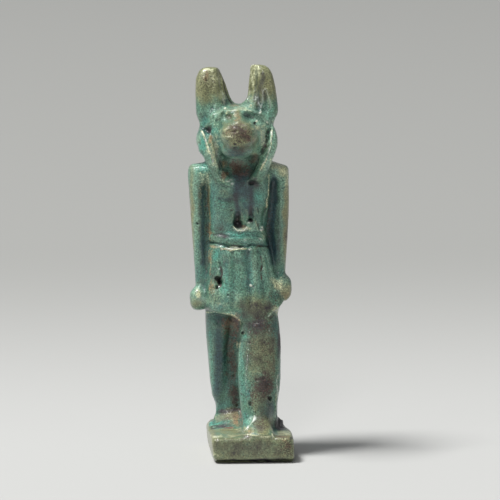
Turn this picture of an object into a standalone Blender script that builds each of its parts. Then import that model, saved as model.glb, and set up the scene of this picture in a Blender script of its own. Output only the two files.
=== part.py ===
"""Amulet of a striding jackal-headed figure, moulded in one piece of glazed faience.

The figure stands on a low block, with a pillar up its back and the spaces between its limbs left
filled. The file is in metres with +Z up and the figure facing -Y. The origin is the middle of the
underside. The block, the pillar and the suspension hole have sizes of their own. The figure is
laid out on a square grid, as its makers did, so its pose and carving are shares of its height.
"""

import math

import bmesh
import bpy
import numpy as np
from mathutils import Matrix

# Driving dimensions, in metres
FIGURE_HEIGHT = 0.0400
BASE_WIDTH = 0.0092
BASE_DEPTH = 0.0128
BASE_HEIGHT = 0.0029
BASE_EDGE = 0.0004
TOE_MARGIN = 0.00015
PILLAR_WIDTH = 0.0034
PILLAR_SETBACK = 0.0002
PILLAR_EDGE = 0.0003
FOOT_TRIM = 0.0001
HOLE_DIAMETER = 0.0014
HOLE_WALL = 0.00045
CLAY_VOXEL = 0.00020
TRIANGLES = 9400
SOFTENINGS = 3
SHARP_ANGLE = math.radians(50)

# The figure's grid: forty squares from the top of the block to the ear tips
GRID = FIGURE_HEIGHT / 40.0
ROUND = 2.0
SOFT_BOX = 2.8
BOX = 5.0

# Heights, sideways places and depths below are in grid squares. Each section of a loft is
# (station, first centre, second centre, first half size, second half size).
TOE_FRONT = -6.35
BASE_MIDDLE = 1.05
PILLAR_MIDDLE = 0.0
PILLAR_TOP = 29.9
PILLAR_FRONT = 2.6
HOLE_LEVEL = 28.3
DRILL_LENGTH = 16.0

TRUNK = [
    (11.4, 0.35, 1.60, 3.80, 2.80),
    (13.2, 0.40, 1.55, 4.12, 2.95),
    (15.0, 0.32, 1.65, 4.00, 2.88),
    (17.9, 0.15, 1.95, 3.55, 2.55),
    (20.2, -0.02, 2.25, 3.28, 2.20),
    (21.8, -0.28, 2.45, 3.00, 1.98),
    (23.6, -0.22, 2.55, 3.08, 2.00),
    (24.6, 0.00, 2.55, 3.32, 2.15),
    (26.0, 0.02, 2.55, 3.42, 2.20),
    (27.6, 0.03, 2.60, 3.52, 2.10),
    (28.8, 0.05, 2.75, 3.50, 1.75),
    (29.3, 0.05, 2.85, 2.90, 1.35),
]
HEM = [(-4.2, 13.15), (-3.6, 13.05), (-2.0, 12.80), (-0.9, 12.45), (-0.3, 12.05),
       (0.2, 11.40), (2.7, 11.40), (3.3, 12.30), (4.6, 14.15)]
SHOULDERS = [
    (-5.54, 2.80, 27.75, 0.55, 0.60),
    (-5.28, 2.80, 27.95, 1.05, 0.88),
    (-4.50, 2.80, 28.05, 1.40, 0.95),
    (-2.50, 2.80, 28.05, 1.60, 1.00),
    (2.50, 2.80, 28.12, 1.60, 1.00),
    (4.55, 2.80, 28.15, 1.40, 0.95),
    (5.34, 2.80, 27.98, 1.05, 0.88),
    (5.58, 2.80, 27.75, 0.55, 0.60),
]
ARM_LEFT = [
    (28.2, -4.62, 2.80, 0.90, 1.35),
    (27.0, -4.66, 2.80, 0.84, 1.32),
    (25.4, -4.66, 2.80, 0.74, 1.28),
    (23.4, -4.54, 2.70, 0.72, 1.25),
    (20.9, -4.38, 2.60, 0.72, 1.20),
    (17.8, -4.14, 2.35, 0.72, 1.10),
    (15.0, -4.00, 2.15, 0.72, 1.05),
]
ARM_RIGHT = [
    (28.2, 4.80, 2.80, 0.78, 1.35),
    (27.0, 4.80, 2.80, 0.76, 1.32),
    (25.4, 4.86, 2.80, 0.74, 1.30),
    (23.4, 4.84, 2.70, 0.72, 1.25),
    (20.1, 4.68, 2.60, 0.72, 1.20),
    (18.4, 4.54, 2.40, 0.72, 1.10),
    (15.6, 4.32, 2.20, 0.72, 1.05),
]
REAR_LEG = [
    (13.4, -2.15, 3.10, 1.50, 1.80),
    (10.0, -2.20, 3.15, 1.48, 1.70),
    (7.50, -2.12, 3.25, 1.36, 1.65),
    (5.50, -2.02, 3.30, 1.20, 1.45),
    (3.50, -1.90, 3.35, 1.04, 1.25),
    (2.00, -1.75, 3.35, 0.94, 1.10),
    (0.60, -1.50, 3.15, 0.95, 1.20),
    (-0.40, -1.50, 3.15, 0.95, 1.20),
]
REAR_FOOT = [
    (4.60, -1.40, 0.10, 0.50, 0.50),
    (3.60, -1.35, 0.20, 0.90, 0.95),
    (2.20, -1.22, 0.20, 1.00, 1.25),
    (1.00, -1.10, 0.10, 1.05, 0.90),
    (0.20, -1.05, 0.00, 0.90, 0.50),
    (-0.10, -1.05, 0.00, 0.50, 0.30),
]
FRONT_LEG = [
    (13.4, 2.10, 1.30, 2.00, 1.80),
    (12.2, 2.15, 0.60, 2.12, 1.95),
    (11.0, 2.18, 0.15, 2.16, 1.90),
    (9.00, 2.15, -0.20, 2.25, 1.80),
    (6.50, 2.02, -0.75, 2.34, 1.70),
    (5.00, 1.90, -1.15, 2.16, 1.60),
    (3.50, 1.76, -1.55, 1.90, 1.50),
    (2.00, 1.70, -1.95, 1.70, 1.35),
    (0.60, 1.65, -2.20, 1.58, 1.40),
    (-0.40, 1.65, -2.20, 1.58, 1.40),
]
FRONT_FOOT = [
    (-0.90, 1.65, 0.10, 1.10, 0.70),
    (-2.20, 1.70, 0.20, 1.50, 1.30),
    (-3.60, 1.75, 0.20, 1.55, 1.35),
    (-5.00, 1.80, 0.10, 1.62, 0.85),
    (-6.00, 1.75, 0.00, 1.50, 0.55),
    (TOE_FRONT, 1.70, -0.05, 1.10, 0.35),
]
LEG_FILLING = [
    (13.4, 1.00, 3.45, 2.90, 1.40),
    (11.0, 1.00, 3.45, 2.90, 1.40),
    (8.70, 1.00, 3.40, 2.90, 1.40),
    (5.50, 1.05, 3.40, 2.90, 1.40),
    (2.90, 1.05, 3.40, 2.90, 1.40),
    (-0.40, 1.05, 3.40, 2.90, 1.40),
]
WIG = [
    (27.6, -0.10, 4.10, 2.60, 1.20),
    (28.6, -0.10, 3.65, 3.10, 1.70),
    (29.7, -0.10, 3.15, 3.62, 2.15),
    (30.4, -0.12, 2.90, 4.02, 2.40),
    (31.1, -0.16, 2.75, 4.28, 2.60),
    (31.8, -0.18, 2.65, 4.38, 2.65),
    (32.8, -0.20, 2.60, 4.16, 2.65),
    (33.8, -0.18, 2.50, 3.80, 2.60),
    (34.6, -0.15, 2.50, 3.35, 2.35),
    (35.1, -0.12, 2.50, 2.70, 1.95),
    (35.5, -0.10, 2.60, 1.50, 1.20),
]
LAPPET_LEFT = [
    (33.2, -3.95, 1.30, 0.40, 0.80),
    (32.2, -3.80, 0.65, 0.72, 1.05),
    (31.2, -3.55, 0.35, 0.85, 1.10),
    (30.2, -3.25, 0.15, 0.85, 1.00),
    (29.2, -2.88, 0.05, 0.72, 0.90),
    (28.3, -2.40, 0.05, 0.78, 0.80),
    (27.6, -1.98, 0.15, 0.92, 0.68),
    (27.1, -1.75, 0.30, 0.80, 0.50),
]
LAPPET_RIGHT = [
    (33.4, 3.35, 1.10, 0.40, 0.80),
    (32.4, 3.50, 0.65, 0.62, 1.05),
    (31.4, 3.45, 0.35, 0.75, 1.10),
    (30.4, 3.15, 0.15, 0.78, 1.00),
    (29.4, 2.78, 0.05, 0.72, 0.90),
    (28.4, 2.35, 0.05, 0.78, 0.80),
    (27.6, 1.95, 0.15, 0.90, 0.68),
    (27.1, 1.72, 0.30, 0.78, 0.50),
]
STRIDE_FILLING = [
    (13.4, 2.20, 1.40, 1.80, 2.40),
    (11.0, 2.20, 1.20, 1.80, 2.50),
    (8.70, 2.25, 1.00, 1.85, 2.70),
    (6.50, 2.40, 0.85, 2.02, 2.80),
    (4.50, 2.42, 0.75, 2.06, 2.90),
    (2.90, 2.35, 0.70, 2.00, 3.00),
    (1.40, 2.25, 0.70, 1.92, 3.00),
    (-0.40, 2.25, 0.70, 1.92, 3.00),
]
SNOUT = [
    (0.80, -0.12, 33.00, 1.60, 2.05),
    (-0.60, -0.16, 32.90, 1.70, 1.86),
    (-1.80, -0.22, 32.80, 1.95, 1.70),
    (-3.00, -0.28, 32.75, 2.10, 1.64),
    (-4.00, -0.30, 32.75, 1.94, 1.50),
    (-4.70, -0.30, 32.75, 1.45, 1.10),
    (-4.95, -0.30, 32.75, 0.80, 0.60),
]
EAR_LEFT = [
    (33.0, -3.40, 2.30, 0.75, 0.90),
    (33.8, -3.20, 2.35, 1.18, 1.10),
    (34.5, -3.18, 2.40, 1.48, 1.20),
    (36.0, -3.25, 2.50, 1.45, 1.15),
    (38.0, -3.38, 2.60, 1.32, 1.05),
    (38.9, -3.32, 2.70, 1.12, 0.90),
    (39.4, -3.20, 2.75, 0.92, 0.70),
    (39.6, -3.15, 2.75, 0.60, 0.45),
]
EAR_LEFT_BACK = [
    (34.4, -2.30, 3.20, 2.20, 0.85),
    (35.4, -2.40, 3.20, 2.05, 0.80),
    (36.4, -2.70, 3.20, 1.80, 0.75),
    (37.5, -2.90, 3.20, 1.62, 0.70),
    (38.6, -3.05, 3.20, 1.34, 0.62),
    (39.4, -3.10, 3.15, 0.95, 0.50),
]
EAR_RIGHT = [
    (33.2, 3.05, 2.30, 0.70, 0.90),
    (34.0, 3.10, 2.35, 0.98, 1.10),
    (34.7, 3.16, 2.40, 1.22, 1.20),
    (36.0, 3.06, 2.50, 1.22, 1.15),
    (37.3, 2.98, 2.60, 1.12, 1.05),
    (38.4, 2.88, 2.65, 1.00, 0.95),
    (39.2, 2.72, 2.70, 0.85, 0.80),
    (39.65, 2.60, 2.75, 0.62, 0.55),
    (39.85, 2.52, 2.75, 0.40, 0.35),
]
EAR_RIGHT_BACK = [
    (34.4, 2.10, 3.20, 1.90, 0.85),
    (35.5, 2.25, 3.20, 1.75, 0.80),
    (36.1, 2.50, 3.20, 1.52, 0.75),
    (37.2, 2.52, 3.20, 1.42, 0.70),
    (38.4, 2.50, 3.20, 1.28, 0.62),
    (39.4, 2.30, 3.15, 0.95, 0.50),
    (39.85, 1.85, 3.15, 0.50, 0.35),
]

# Rounded lumps: name, centre, half sizes, squareness
LUMPS = [
    ("skull", (-0.12, 1.20, 33.35), (3.25, 2.30, 2.10), 2.3),
    ("forehead", (-0.12, 0.55, 34.55), (2.85, 1.25, 0.85), ROUND),
    ("left cheek", (-2.35, 0.30, 32.10), (1.00, 1.25, 2.00), ROUND),
    ("right cheek", (2.08, 0.30, 32.10), (0.92, 1.25, 1.95), ROUND),
    ("jaw", (-0.35, -1.50, 31.10), (1.85, 2.60, 1.15), ROUND),
    ("throat", (-0.10, 2.20, 29.40), (2.40, 1.20, 2.20), ROUND),
    ("left fist", (-4.46, 1.80, 14.25), (0.96, 1.40, 1.40), SOFT_BOX),
    ("right fist", (4.72, 1.80, 15.28), (1.12, 1.40, 1.44), SOFT_BOX),
    ("mound by the heel", (4.00, 1.20, 0.00), (0.92, 1.50, 1.02), ROUND),
]

# The wig's front edge round the face, and its half thickness
WIG_RIM = [(-3.55, 0.90, 32.6), (-3.50, 0.45, 33.6), (-2.95, 0.05, 34.6), (-1.60, -0.30, 35.05),
           (-0.10, -0.42, 35.20), (1.35, -0.30, 35.05), (2.60, 0.00, 34.6), (3.20, 0.35, 33.8),
           (3.45, 0.55, 32.9)]
RIM_HALF = 0.34

# Filling between an arm and the trunk: its inner and outer sides, front, back, foot and top
ARM_FILLING = (2.4, 4.6, 3.10, 3.95, 14.6, 28.2)

# Carving, seen from the front: a line of (sideways, height) points, its half width and its depth
PLEATS = [([(-2.15, 19.6), (-2.15, 17.2), (-2.45, 14.2)], 0.42, 0.20),
          ([(-0.70, 19.7), (-0.70, 17.0), (-0.80, 13.6)], 0.42, 0.20),
          ([(0.95, 19.7), (1.05, 17.0), (1.20, 13.6)], 0.45, 0.24),
          ([(2.15, 19.6), (2.45, 17.2), (2.75, 14.6)], 0.45, 0.26),
          ([(3.00, 19.3), (3.45, 17.0), (3.75, 15.0)], 0.40, 0.16)]
FRONT_STROKES = PLEATS + [
    ([(-2.10, 25.1), (-0.90, 25.0)], 0.40, 0.12),
    ([(-0.35, 24.6), (-0.25, 23.0)], 0.40, 0.18),
    ([(1.95, 23.5), (2.05, 22.3)], 0.30, 0.16),
    ([(2.95, 36.6), (2.95, 34.4)], 0.50, 0.20),
    ([(1.80, 39.8), (1.85, 38.2), (1.95, 36.2)], 0.35, 0.28),
    ([(-3.05, 38.6), (-3.00, 35.4)], 0.90, 0.14),
    ([(2.95, 33.3), (2.75, 32.4), (2.45, 31.3), (2.10, 30.3)], 0.45, 0.40),
    ([(-3.20, 33.2), (-2.95, 32.4), (-2.60, 31.3), (-2.20, 30.2)], 0.40, 0.30),
]
# Bands and grooves round the waist: height, half height and depth, negative where it stands proud
BELT = [(21.65, 0.30, 0.10), (20.95, 0.55, -0.07), (20.25, 0.34, 0.24)]
BELT_REACH = 3.9
BELT_BACK = 3.0
# The line of the mouth on both sides of the snout, as (depth, height) points
MOUTH = [(-4.9, 31.95), (-3.6, 31.85), (-1.6, 31.75), (-0.6, 32.00)]
MOUTH_WIDTH = 0.30
MOUTH_DEPTH = 0.16
MOUTH_BACK = 0.0
# The back of the advanced leg, drawn on the filling behind it, as (depth, height) points
LEG_LINE = [(2.45, 12.4), (2.05, 9.0), (1.40, 6.5), (0.45, 3.5), (-0.20, 1.2)]
LEG_LINE_WIDTH = 0.50
LEG_LINE_DEPTH = 0.30
# Hollows and pits seen from the front: middle, half sizes and depth
FRONT_PITS = [
    ((-1.20, 34.50), (0.75, 0.50), 0.32),
    ((0.95, 34.50), (0.95, 0.55), 0.38),
    ((1.72, 33.85), (0.40, 0.40), 0.45),
    ((-3.80, 32.95), (0.60, 0.50), 0.40),
    ((-0.25, 22.70), (0.68, 0.90), 0.62),
    ((1.12, 23.10), (0.40, 0.36), 0.30),
    ((1.35, 27.15), (0.55, 0.42), 0.45),
    ((-2.42, 16.25), (0.60, 0.66), 0.70),
    ((-2.62, 15.45), (0.34, 0.34), 0.30),
    ((1.05, 2.55), (0.32, 0.32), 0.30),
    ((3.05, 3.20), (0.30, 0.30), 0.28),
]
# Worn corners and chips: middle, reach and depth
CHIPS = [
    ((5.45, -6.40, 0.00), 1.5, 0.34),
    ((5.35, -6.40, -1.60), 0.9, 0.10),
    ((-3.40, 6.00, 0.00), 1.4, 0.30),
    ((5.30, 6.10, 0.00), 1.2, 0.22),
    ((-3.50, -6.40, 0.00), 0.8, 0.12),
    ((-3.50, -6.40, -2.80), 0.9, 0.25),
]


def remove_everything():
    """Empty the scene."""
    for old in list(bpy.data.objects):
        bpy.data.objects.remove(old, do_unlink=True)


def new_collection(name):
    """A collection under the scene's own."""
    collection = bpy.data.collections.new(name)
    bpy.context.scene.collection.children.link(collection)
    return collection


def smooth_stations(sections, steps):
    """Sections read at more stations, along a smooth curve through the given ones."""
    table = np.array(sections)
    knots = np.arange(len(table))
    tangents = np.gradient(table, axis=0)
    found = []
    for value in np.linspace(0, len(table) - 1, (len(table) - 1) * steps + 1):
        low = min(int(value), len(table) - 2)
        t = value - knots[low]
        h00 = 2 * t**3 - 3 * t**2 + 1
        h10 = t**3 - 2 * t**2 + t
        h01 = -2 * t**3 + 3 * t**2
        h11 = t**3 - t**2
        found.append(h00 * table[low] + h10 * tangents[low]
                     + h01 * table[low + 1] + h11 * tangents[low + 1])
    return found


def rim_point(angle, power):
    """A point on a unit superellipse: a power of 2 is a circle, and a high one is a square."""
    c, s = math.cos(angle), math.sin(angle)
    return (math.copysign(abs(c) ** (2 / power), c), math.copysign(abs(s) ** (2 / power), s))


def loft(bm, sections, axis="Z", power=ROUND, sides=28, steps=4):
    """Skin a row of rounded sections along an axis, and close both ends."""
    place = {"Z": lambda n, a, b: (a, b, n), "Y": lambda n, a, b: (a, n, b),
             "X": lambda n, a, b: (n, a, b)}[axis]
    rings = []
    for station, centre_a, centre_b, half_a, half_b in smooth_stations(sections, steps):
        ring = []
        for i in range(sides):
            across, along = rim_point(2 * math.pi * i / sides, power)
            ring.append(bm.verts.new(place(station, centre_a + half_a * across,
                                           centre_b + half_b * along)))
        rings.append(ring)
    faces = []
    for lower, upper in zip(rings, rings[1:]):
        for i in range(sides):
            j = (i + 1) % sides
            faces.append(bm.faces.new((lower[i], lower[j], upper[j], upper[i])))
    faces.append(bm.faces.new(rings[0]))
    faces.append(bm.faces.new(rings[-1]))
    bmesh.ops.recalc_face_normals(bm, faces=faces)


def lump(bm, centre, halves, power):
    """A ball stretched to its half sizes, squarer the higher its power."""
    made = bmesh.ops.create_uvsphere(bm, u_segments=28, v_segments=18, radius=1.0)
    for vert in made["verts"]:
        size = sum(abs(v) ** power for v in vert.co) ** (1 / power)
        vert.co = [c + h * v / size for c, h, v in zip(centre, halves, vert.co)]


def roll(bm, points, half):
    """A round roll of the given half thickness along a smooth line of points."""
    curve = bpy.data.curves.new("roll", "CURVE")
    curve.dimensions = "3D"
    curve.bevel_depth = half
    curve.bevel_resolution = 3
    curve.use_fill_caps = True
    spline = curve.splines.new("NURBS")
    spline.points.add(len(points) - 1)
    for point, place in zip(spline.points, points):
        point.co = (*place, 1.0)
    spline.order_u = 4
    spline.use_endpoint_u = True
    guide = bpy.data.objects.new("roll", curve)
    bpy.context.scene.collection.objects.link(guide)
    mesh = bpy.data.meshes.new_from_object(
        guide.evaluated_get(bpy.context.evaluated_depsgraph_get()))
    bm.from_mesh(mesh)
    bpy.data.objects.remove(guide, do_unlink=True)
    bpy.data.meshes.remove(mesh)


def block(bm, low, high):
    """A plain box from its low corner to its high one."""
    made = bmesh.ops.create_cube(bm, size=1.0)
    for vert in made["verts"]:
        vert.co = [lo + (hi - lo) * (v + 0.5) for lo, hi, v in zip(low, high, vert.co)]


def mesh_object(name, bm, collection):
    """Turn a bmesh into an object of a collection."""
    mesh = bpy.data.meshes.new(name)
    bm.to_mesh(mesh)
    bm.free()
    made = bpy.data.objects.new(name, mesh)
    collection.objects.link(made)
    return made


def applied(thing):
    """Replace an object's mesh by its evaluated one, and clear its modifiers."""
    graph = bpy.context.evaluated_depsgraph_get()
    mesh = bpy.data.meshes.new_from_object(thing.evaluated_get(graph))
    thing.modifiers.clear()
    thing.data = mesh
    return thing


def trunk_form(bm):
    """Chest, waist and kilt, with the kilt's foot drawn up to its hem."""
    before = len(bm.verts)
    loft(bm, TRUNK, power=2.6, sides=40)
    bm.verts.ensure_lookup_table()
    across = [x for x, level in HEM]
    levels = [level for x, level in HEM]
    for vert in bm.verts[before:]:
        vert.co.z = max(vert.co.z, float(np.interp(vert.co.x, across, levels)))


def figure_forms():
    """All the forms of the figure in grid squares, overlapping where they join."""
    bm = bmesh.new()
    trunk_form(bm)
    loft(bm, SHOULDERS, axis="X", power=2.6)
    loft(bm, ARM_LEFT, power=2.2)
    loft(bm, ARM_RIGHT, power=2.2)
    loft(bm, REAR_LEG, power=2.2)
    loft(bm, REAR_FOOT, axis="Y", power=2.4)
    loft(bm, FRONT_LEG, power=2.3)
    loft(bm, FRONT_FOOT, axis="Y", power=2.6)
    loft(bm, LEG_FILLING, power=BOX)
    loft(bm, STRIDE_FILLING, power=BOX)
    loft(bm, WIG, power=2.3)
    loft(bm, LAPPET_LEFT, power=2.4)
    loft(bm, LAPPET_RIGHT, power=2.4)
    loft(bm, SNOUT, axis="Y", power=2.1)
    loft(bm, EAR_LEFT, power=SOFT_BOX)
    loft(bm, EAR_LEFT_BACK, power=SOFT_BOX)
    loft(bm, EAR_RIGHT, power=SOFT_BOX)
    loft(bm, EAR_RIGHT_BACK, power=SOFT_BOX)
    roll(bm, WIG_RIM, RIM_HALF)
    for name, centre, halves, power in LUMPS:
        lump(bm, centre, halves, power)
    inner, outer, front, back, foot, top = ARM_FILLING
    block(bm, (-outer, front, foot), (-inner, back, top))
    block(bm, (inner, front, foot), (outer, back, top))
    bmesh.ops.scale(bm, vec=(GRID, GRID, GRID), verts=bm.verts)
    bmesh.ops.translate(bm, vec=(0, 0, BASE_HEIGHT), verts=bm.verts)
    return bm


def base_front():
    """The front of the block, just ahead of the toes."""
    return TOE_FRONT * GRID - TOE_MARGIN


def rounded_box(name, low, high, edge, collection):
    """A box with its edges rounded, as a closed mesh."""
    bm = bmesh.new()
    block(bm, low, high)
    box = mesh_object(name, bm, collection)
    bevel = box.modifiers.new("Worn edges", "BEVEL")
    bevel.width = edge
    bevel.segments = 3
    return applied(box)


def base_and_pillar(collection):
    """The block under the feet and the pillar up the back."""
    front = base_front()
    back = front + BASE_DEPTH
    middle = BASE_MIDDLE * GRID
    base = rounded_box("block", (middle - BASE_WIDTH / 2, front, -FOOT_TRIM),
                       (middle + BASE_WIDTH / 2, back, BASE_HEIGHT), BASE_EDGE, collection)
    centre = PILLAR_MIDDLE * GRID
    pillar = rounded_box("pillar", (centre - PILLAR_WIDTH / 2, PILLAR_FRONT * GRID, BASE_HEIGHT / 2),
                         (centre + PILLAR_WIDTH / 2, back - PILLAR_SETBACK,
                          BASE_HEIGHT + PILLAR_TOP * GRID), PILLAR_EDGE, collection)
    return base, pillar


def joined(name, things, collection):
    """One object holding the meshes of several, still overlapping."""
    bm = bmesh.new()
    for thing in things:
        bm.from_mesh(thing.data)
        bpy.data.objects.remove(thing, do_unlink=True)
    return mesh_object(name, bm, collection)


def fused(thing):
    """Melt overlapping forms into one skin, softened as wet paste is in a mould."""
    remesh = thing.modifiers.new("One skin", "REMESH")
    remesh.mode = "VOXEL"
    remesh.voxel_size = CLAY_VOXEL
    soften = thing.modifiers.new("Softened", "SMOOTH")
    soften.factor = 0.5
    soften.iterations = SOFTENINGS
    return applied(thing)


def surface(thing):
    """The points of a mesh and the directions they face, in grid squares above the block."""
    count = len(thing.data.vertices)
    places = np.empty(count * 3)
    facing = np.empty(count * 3)
    thing.data.vertices.foreach_get("co", places)
    thing.data.vertices.foreach_get("normal", facing)
    places = (places.reshape(-1, 3) - (0, 0, BASE_HEIGHT)) / GRID
    return places, facing.reshape(-1, 3)


def falloff(distance, reach):
    """One at the middle, fading smoothly to nothing at the reach."""
    return np.clip(1 - (distance / reach) ** 2, 0, 1) ** 2


def to_line(across, up, path):
    """Distance of points from a line of straight runs on the plane they are seen on."""
    nearest = np.full(across.shape, np.inf)
    for (x0, z0), (x1, z1) in zip(path, path[1:]):
        run_x, run_z = x1 - x0, z1 - z0
        share = ((across - x0) * run_x + (up - z0) * run_z) / (run_x**2 + run_z**2)
        share = np.clip(share, 0, 1)
        gap = np.hypot(across - x0 - share * run_x, up - z0 - share * run_z)
        nearest = np.minimum(nearest, gap)
    return nearest


def carved(thing):
    """Cut the folds, hollows and pits into the skin."""
    places, facing = surface(thing)
    x, y, z = places.T
    front = np.clip(-facing[:, 1] * 2, 0, 1)
    cut = np.zeros(len(x))
    for path, width, depth in FRONT_STROKES:
        cut += depth * falloff(to_line(x, z, path), width) * front
    side = np.clip(np.abs(facing[:, 0]) * 3 - 1, 0, 1) * (y < MOUTH_BACK)
    cut += MOUTH_DEPTH * falloff(to_line(y, z, MOUTH), MOUTH_WIDTH) * side
    leg_side = np.clip(facing[:, 0] * 3 - 1, 0, 1) * (z < HEM[-1][1])
    cut += LEG_LINE_DEPTH * falloff(to_line(y, z, LEG_LINE), LEG_LINE_WIDTH) * leg_side
    on_trunk = (np.abs(x) < BELT_REACH) * np.clip(1 - facing[:, 1] * 3, 0, 1) * (y < BELT_BACK)
    for level, half_height, depth in BELT:
        cut += depth * falloff(z - level, half_height) * on_trunk
    for (px, pz), (half_x, half_z), depth in FRONT_PITS:
        cut += depth * falloff(np.hypot((x - px) / half_x, (z - pz) / half_z), 1.0) * front
    for centre, reach, depth in CHIPS:
        cut += depth * falloff(np.linalg.norm(places - centre, axis=1), reach)
    places -= facing * cut[:, None]
    places = places * GRID + (0, 0, BASE_HEIGHT)
    thing.data.vertices.foreach_set("co", places.ravel())
    thing.data.update()


def thinned(thing):
    """Fewer triangles, kept where the form turns."""
    found = sum(len(face.vertices) - 2 for face in thing.data.polygons)
    thin = thing.modifiers.new("Fewer faces", "DECIMATE")
    thin.ratio = min(1.0, TRIANGLES / found)
    thin.use_collapse_triangulate = True
    return applied(thing)


def flat_underside(thing):
    """Cut the block's foot flat and close it with one flat face."""
    bm = bmesh.new()
    bm.from_mesh(thing.data)
    everything = bm.verts[:] + bm.edges[:] + bm.faces[:]
    cut = bmesh.ops.bisect_plane(bm, geom=everything, plane_co=(0, 0, 0), plane_no=(0, 0, -1),
                                 clear_outer=True)
    rim = [item for item in cut["geom_cut"] if isinstance(item, bmesh.types.BMEdge)]
    bmesh.ops.contextual_create(bm, geom=rim)
    bmesh.ops.recalc_face_normals(bm, faces=bm.faces)
    bmesh.ops.triangulate(bm, faces=bm.faces)
    bm.to_mesh(thing.data)
    bm.free()


def suspension_hole(thing, cutters):
    """Drill the hole that a thread passed through, from side to side of the pillar."""
    back = base_front() + BASE_DEPTH - PILLAR_SETBACK
    depth = back - HOLE_WALL - HOLE_DIAMETER / 2
    bpy.ops.mesh.primitive_cylinder_add(
        vertices=24, radius=HOLE_DIAMETER / 2, depth=DRILL_LENGTH * GRID,
        location=(0, depth, BASE_HEIGHT + HOLE_LEVEL * GRID), rotation=(0, math.pi / 2, 0))
    drill = bpy.context.active_object
    drill.name = "drill"
    for collection in drill.users_collection:
        collection.objects.unlink(drill)
    cutters.objects.link(drill)
    drill.hide_render = True
    drill.display_type = "WIRE"
    cut = thing.modifiers.new("Suspension hole", "BOOLEAN")
    cut.operation = "DIFFERENCE"
    cut.solver = "EXACT"
    cut.object = drill
    return drill


def centred(thing, drill):
    """Bring the middle of the whole amulet's width and depth, at the underside, to the origin."""
    corners = np.array([vert.co for vert in thing.data.vertices])
    middle = (corners.min(axis=0) + corners.max(axis=0)) / 2
    shift = Matrix.Translation((-middle[0], -middle[1], 0))
    thing.data.transform(shift)
    drill.location = shift @ drill.location


def faience():
    """Green glazed faience, glossy where it isn't worn."""
    material = bpy.data.materials.new("green faience")
    material.use_nodes = True
    shader = material.node_tree.nodes["Principled BSDF"]
    shader.inputs["Base Color"].default_value = (0.115, 0.275, 0.205, 1)
    shader.inputs["Roughness"].default_value = 0.32
    shader.inputs["Metallic"].default_value = 0.0
    return material


def main():
    """Model the amulet."""
    remove_everything()
    amulet_collection = new_collection("amulet")
    cutters = new_collection("cutters")
    figure = mesh_object("figure", figure_forms(), amulet_collection)
    base, pillar = base_and_pillar(amulet_collection)
    amulet = joined("anubis_amulet", [figure, base, pillar], amulet_collection)
    fused(amulet)
    carved(amulet)
    thinned(amulet)
    flat_underside(amulet)
    drill = suspension_hole(amulet, cutters)
    centred(amulet, drill)
    amulet.data.materials.append(faience())
    amulet.data.shade_smooth()
    amulet.data.set_sharp_from_angle(angle=SHARP_ANGLE)


main()
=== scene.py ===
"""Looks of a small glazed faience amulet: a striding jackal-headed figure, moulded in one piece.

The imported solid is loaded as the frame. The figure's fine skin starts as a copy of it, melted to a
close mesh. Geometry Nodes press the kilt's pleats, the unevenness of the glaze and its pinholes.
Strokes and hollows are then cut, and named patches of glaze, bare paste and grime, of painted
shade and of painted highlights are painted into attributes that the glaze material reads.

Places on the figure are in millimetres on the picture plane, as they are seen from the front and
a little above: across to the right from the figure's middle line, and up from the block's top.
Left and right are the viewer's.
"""

import math

import bmesh
import bpy
import numpy as np
from bpy.props import (FloatProperty, FloatVectorProperty, IntProperty, PointerProperty)
from mathutils import Matrix, Vector


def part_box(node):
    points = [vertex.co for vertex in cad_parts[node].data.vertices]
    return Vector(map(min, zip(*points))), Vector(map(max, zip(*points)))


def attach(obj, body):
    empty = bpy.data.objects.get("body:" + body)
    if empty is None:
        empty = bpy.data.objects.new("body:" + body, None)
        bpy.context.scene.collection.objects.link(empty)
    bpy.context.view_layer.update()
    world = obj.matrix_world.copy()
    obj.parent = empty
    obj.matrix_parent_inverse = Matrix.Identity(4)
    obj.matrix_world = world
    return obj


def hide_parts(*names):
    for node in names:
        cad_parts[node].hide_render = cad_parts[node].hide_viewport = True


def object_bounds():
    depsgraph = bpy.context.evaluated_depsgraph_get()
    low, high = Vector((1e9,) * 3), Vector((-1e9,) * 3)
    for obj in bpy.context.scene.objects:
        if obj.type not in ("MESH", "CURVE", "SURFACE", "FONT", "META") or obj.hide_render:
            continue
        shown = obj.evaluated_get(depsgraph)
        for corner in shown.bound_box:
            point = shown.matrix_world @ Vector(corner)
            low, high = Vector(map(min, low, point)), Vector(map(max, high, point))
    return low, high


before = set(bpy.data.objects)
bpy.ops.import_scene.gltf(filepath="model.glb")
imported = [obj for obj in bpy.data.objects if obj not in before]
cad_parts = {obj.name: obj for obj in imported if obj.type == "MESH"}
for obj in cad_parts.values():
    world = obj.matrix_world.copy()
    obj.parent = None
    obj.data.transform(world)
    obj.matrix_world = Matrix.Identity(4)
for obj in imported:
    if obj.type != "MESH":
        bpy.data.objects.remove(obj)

CAD_BOX = [list(corner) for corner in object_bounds()]

bl_info = {
    "name": "Faience Amulet",
    "version": (1, 0, 0),
    "blender": (4, 5, 0),
    "location": "View3D > Sidebar > Amulet",
    "description": "Carves, glazes and lights a moulded faience amulet around its packed solid",
    "category": "Object",
}

MM = 0.001
NODE = "anubis_amulet"
BODY = "root"

# The figure's middle line and the block's top, from the box of the solid. Its points are joined
# where they lie closer than a distance
LEFT_REACH = 5.54 * MM
FRONT_REACH = 6.50 * MM
BLOCK_TOP = 2.90 * MM
JOIN_DISTANCE = 0.001 * MM

# The camera stands a little to the left and looks down on the figure through a long lens
SIGHT_AZIMUTH = math.radians(-3.5)
SIGHT_ELEVATION = math.radians(8.0)
SIGHT_DISTANCE = 0.600
PICTURE_WIDTH = 0.055
PICTURE_MIDDLE = (1.12, 19.54)
SENSOR = 36.0
CLIP_START = 0.01
CLIP_END = 20.0

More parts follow.
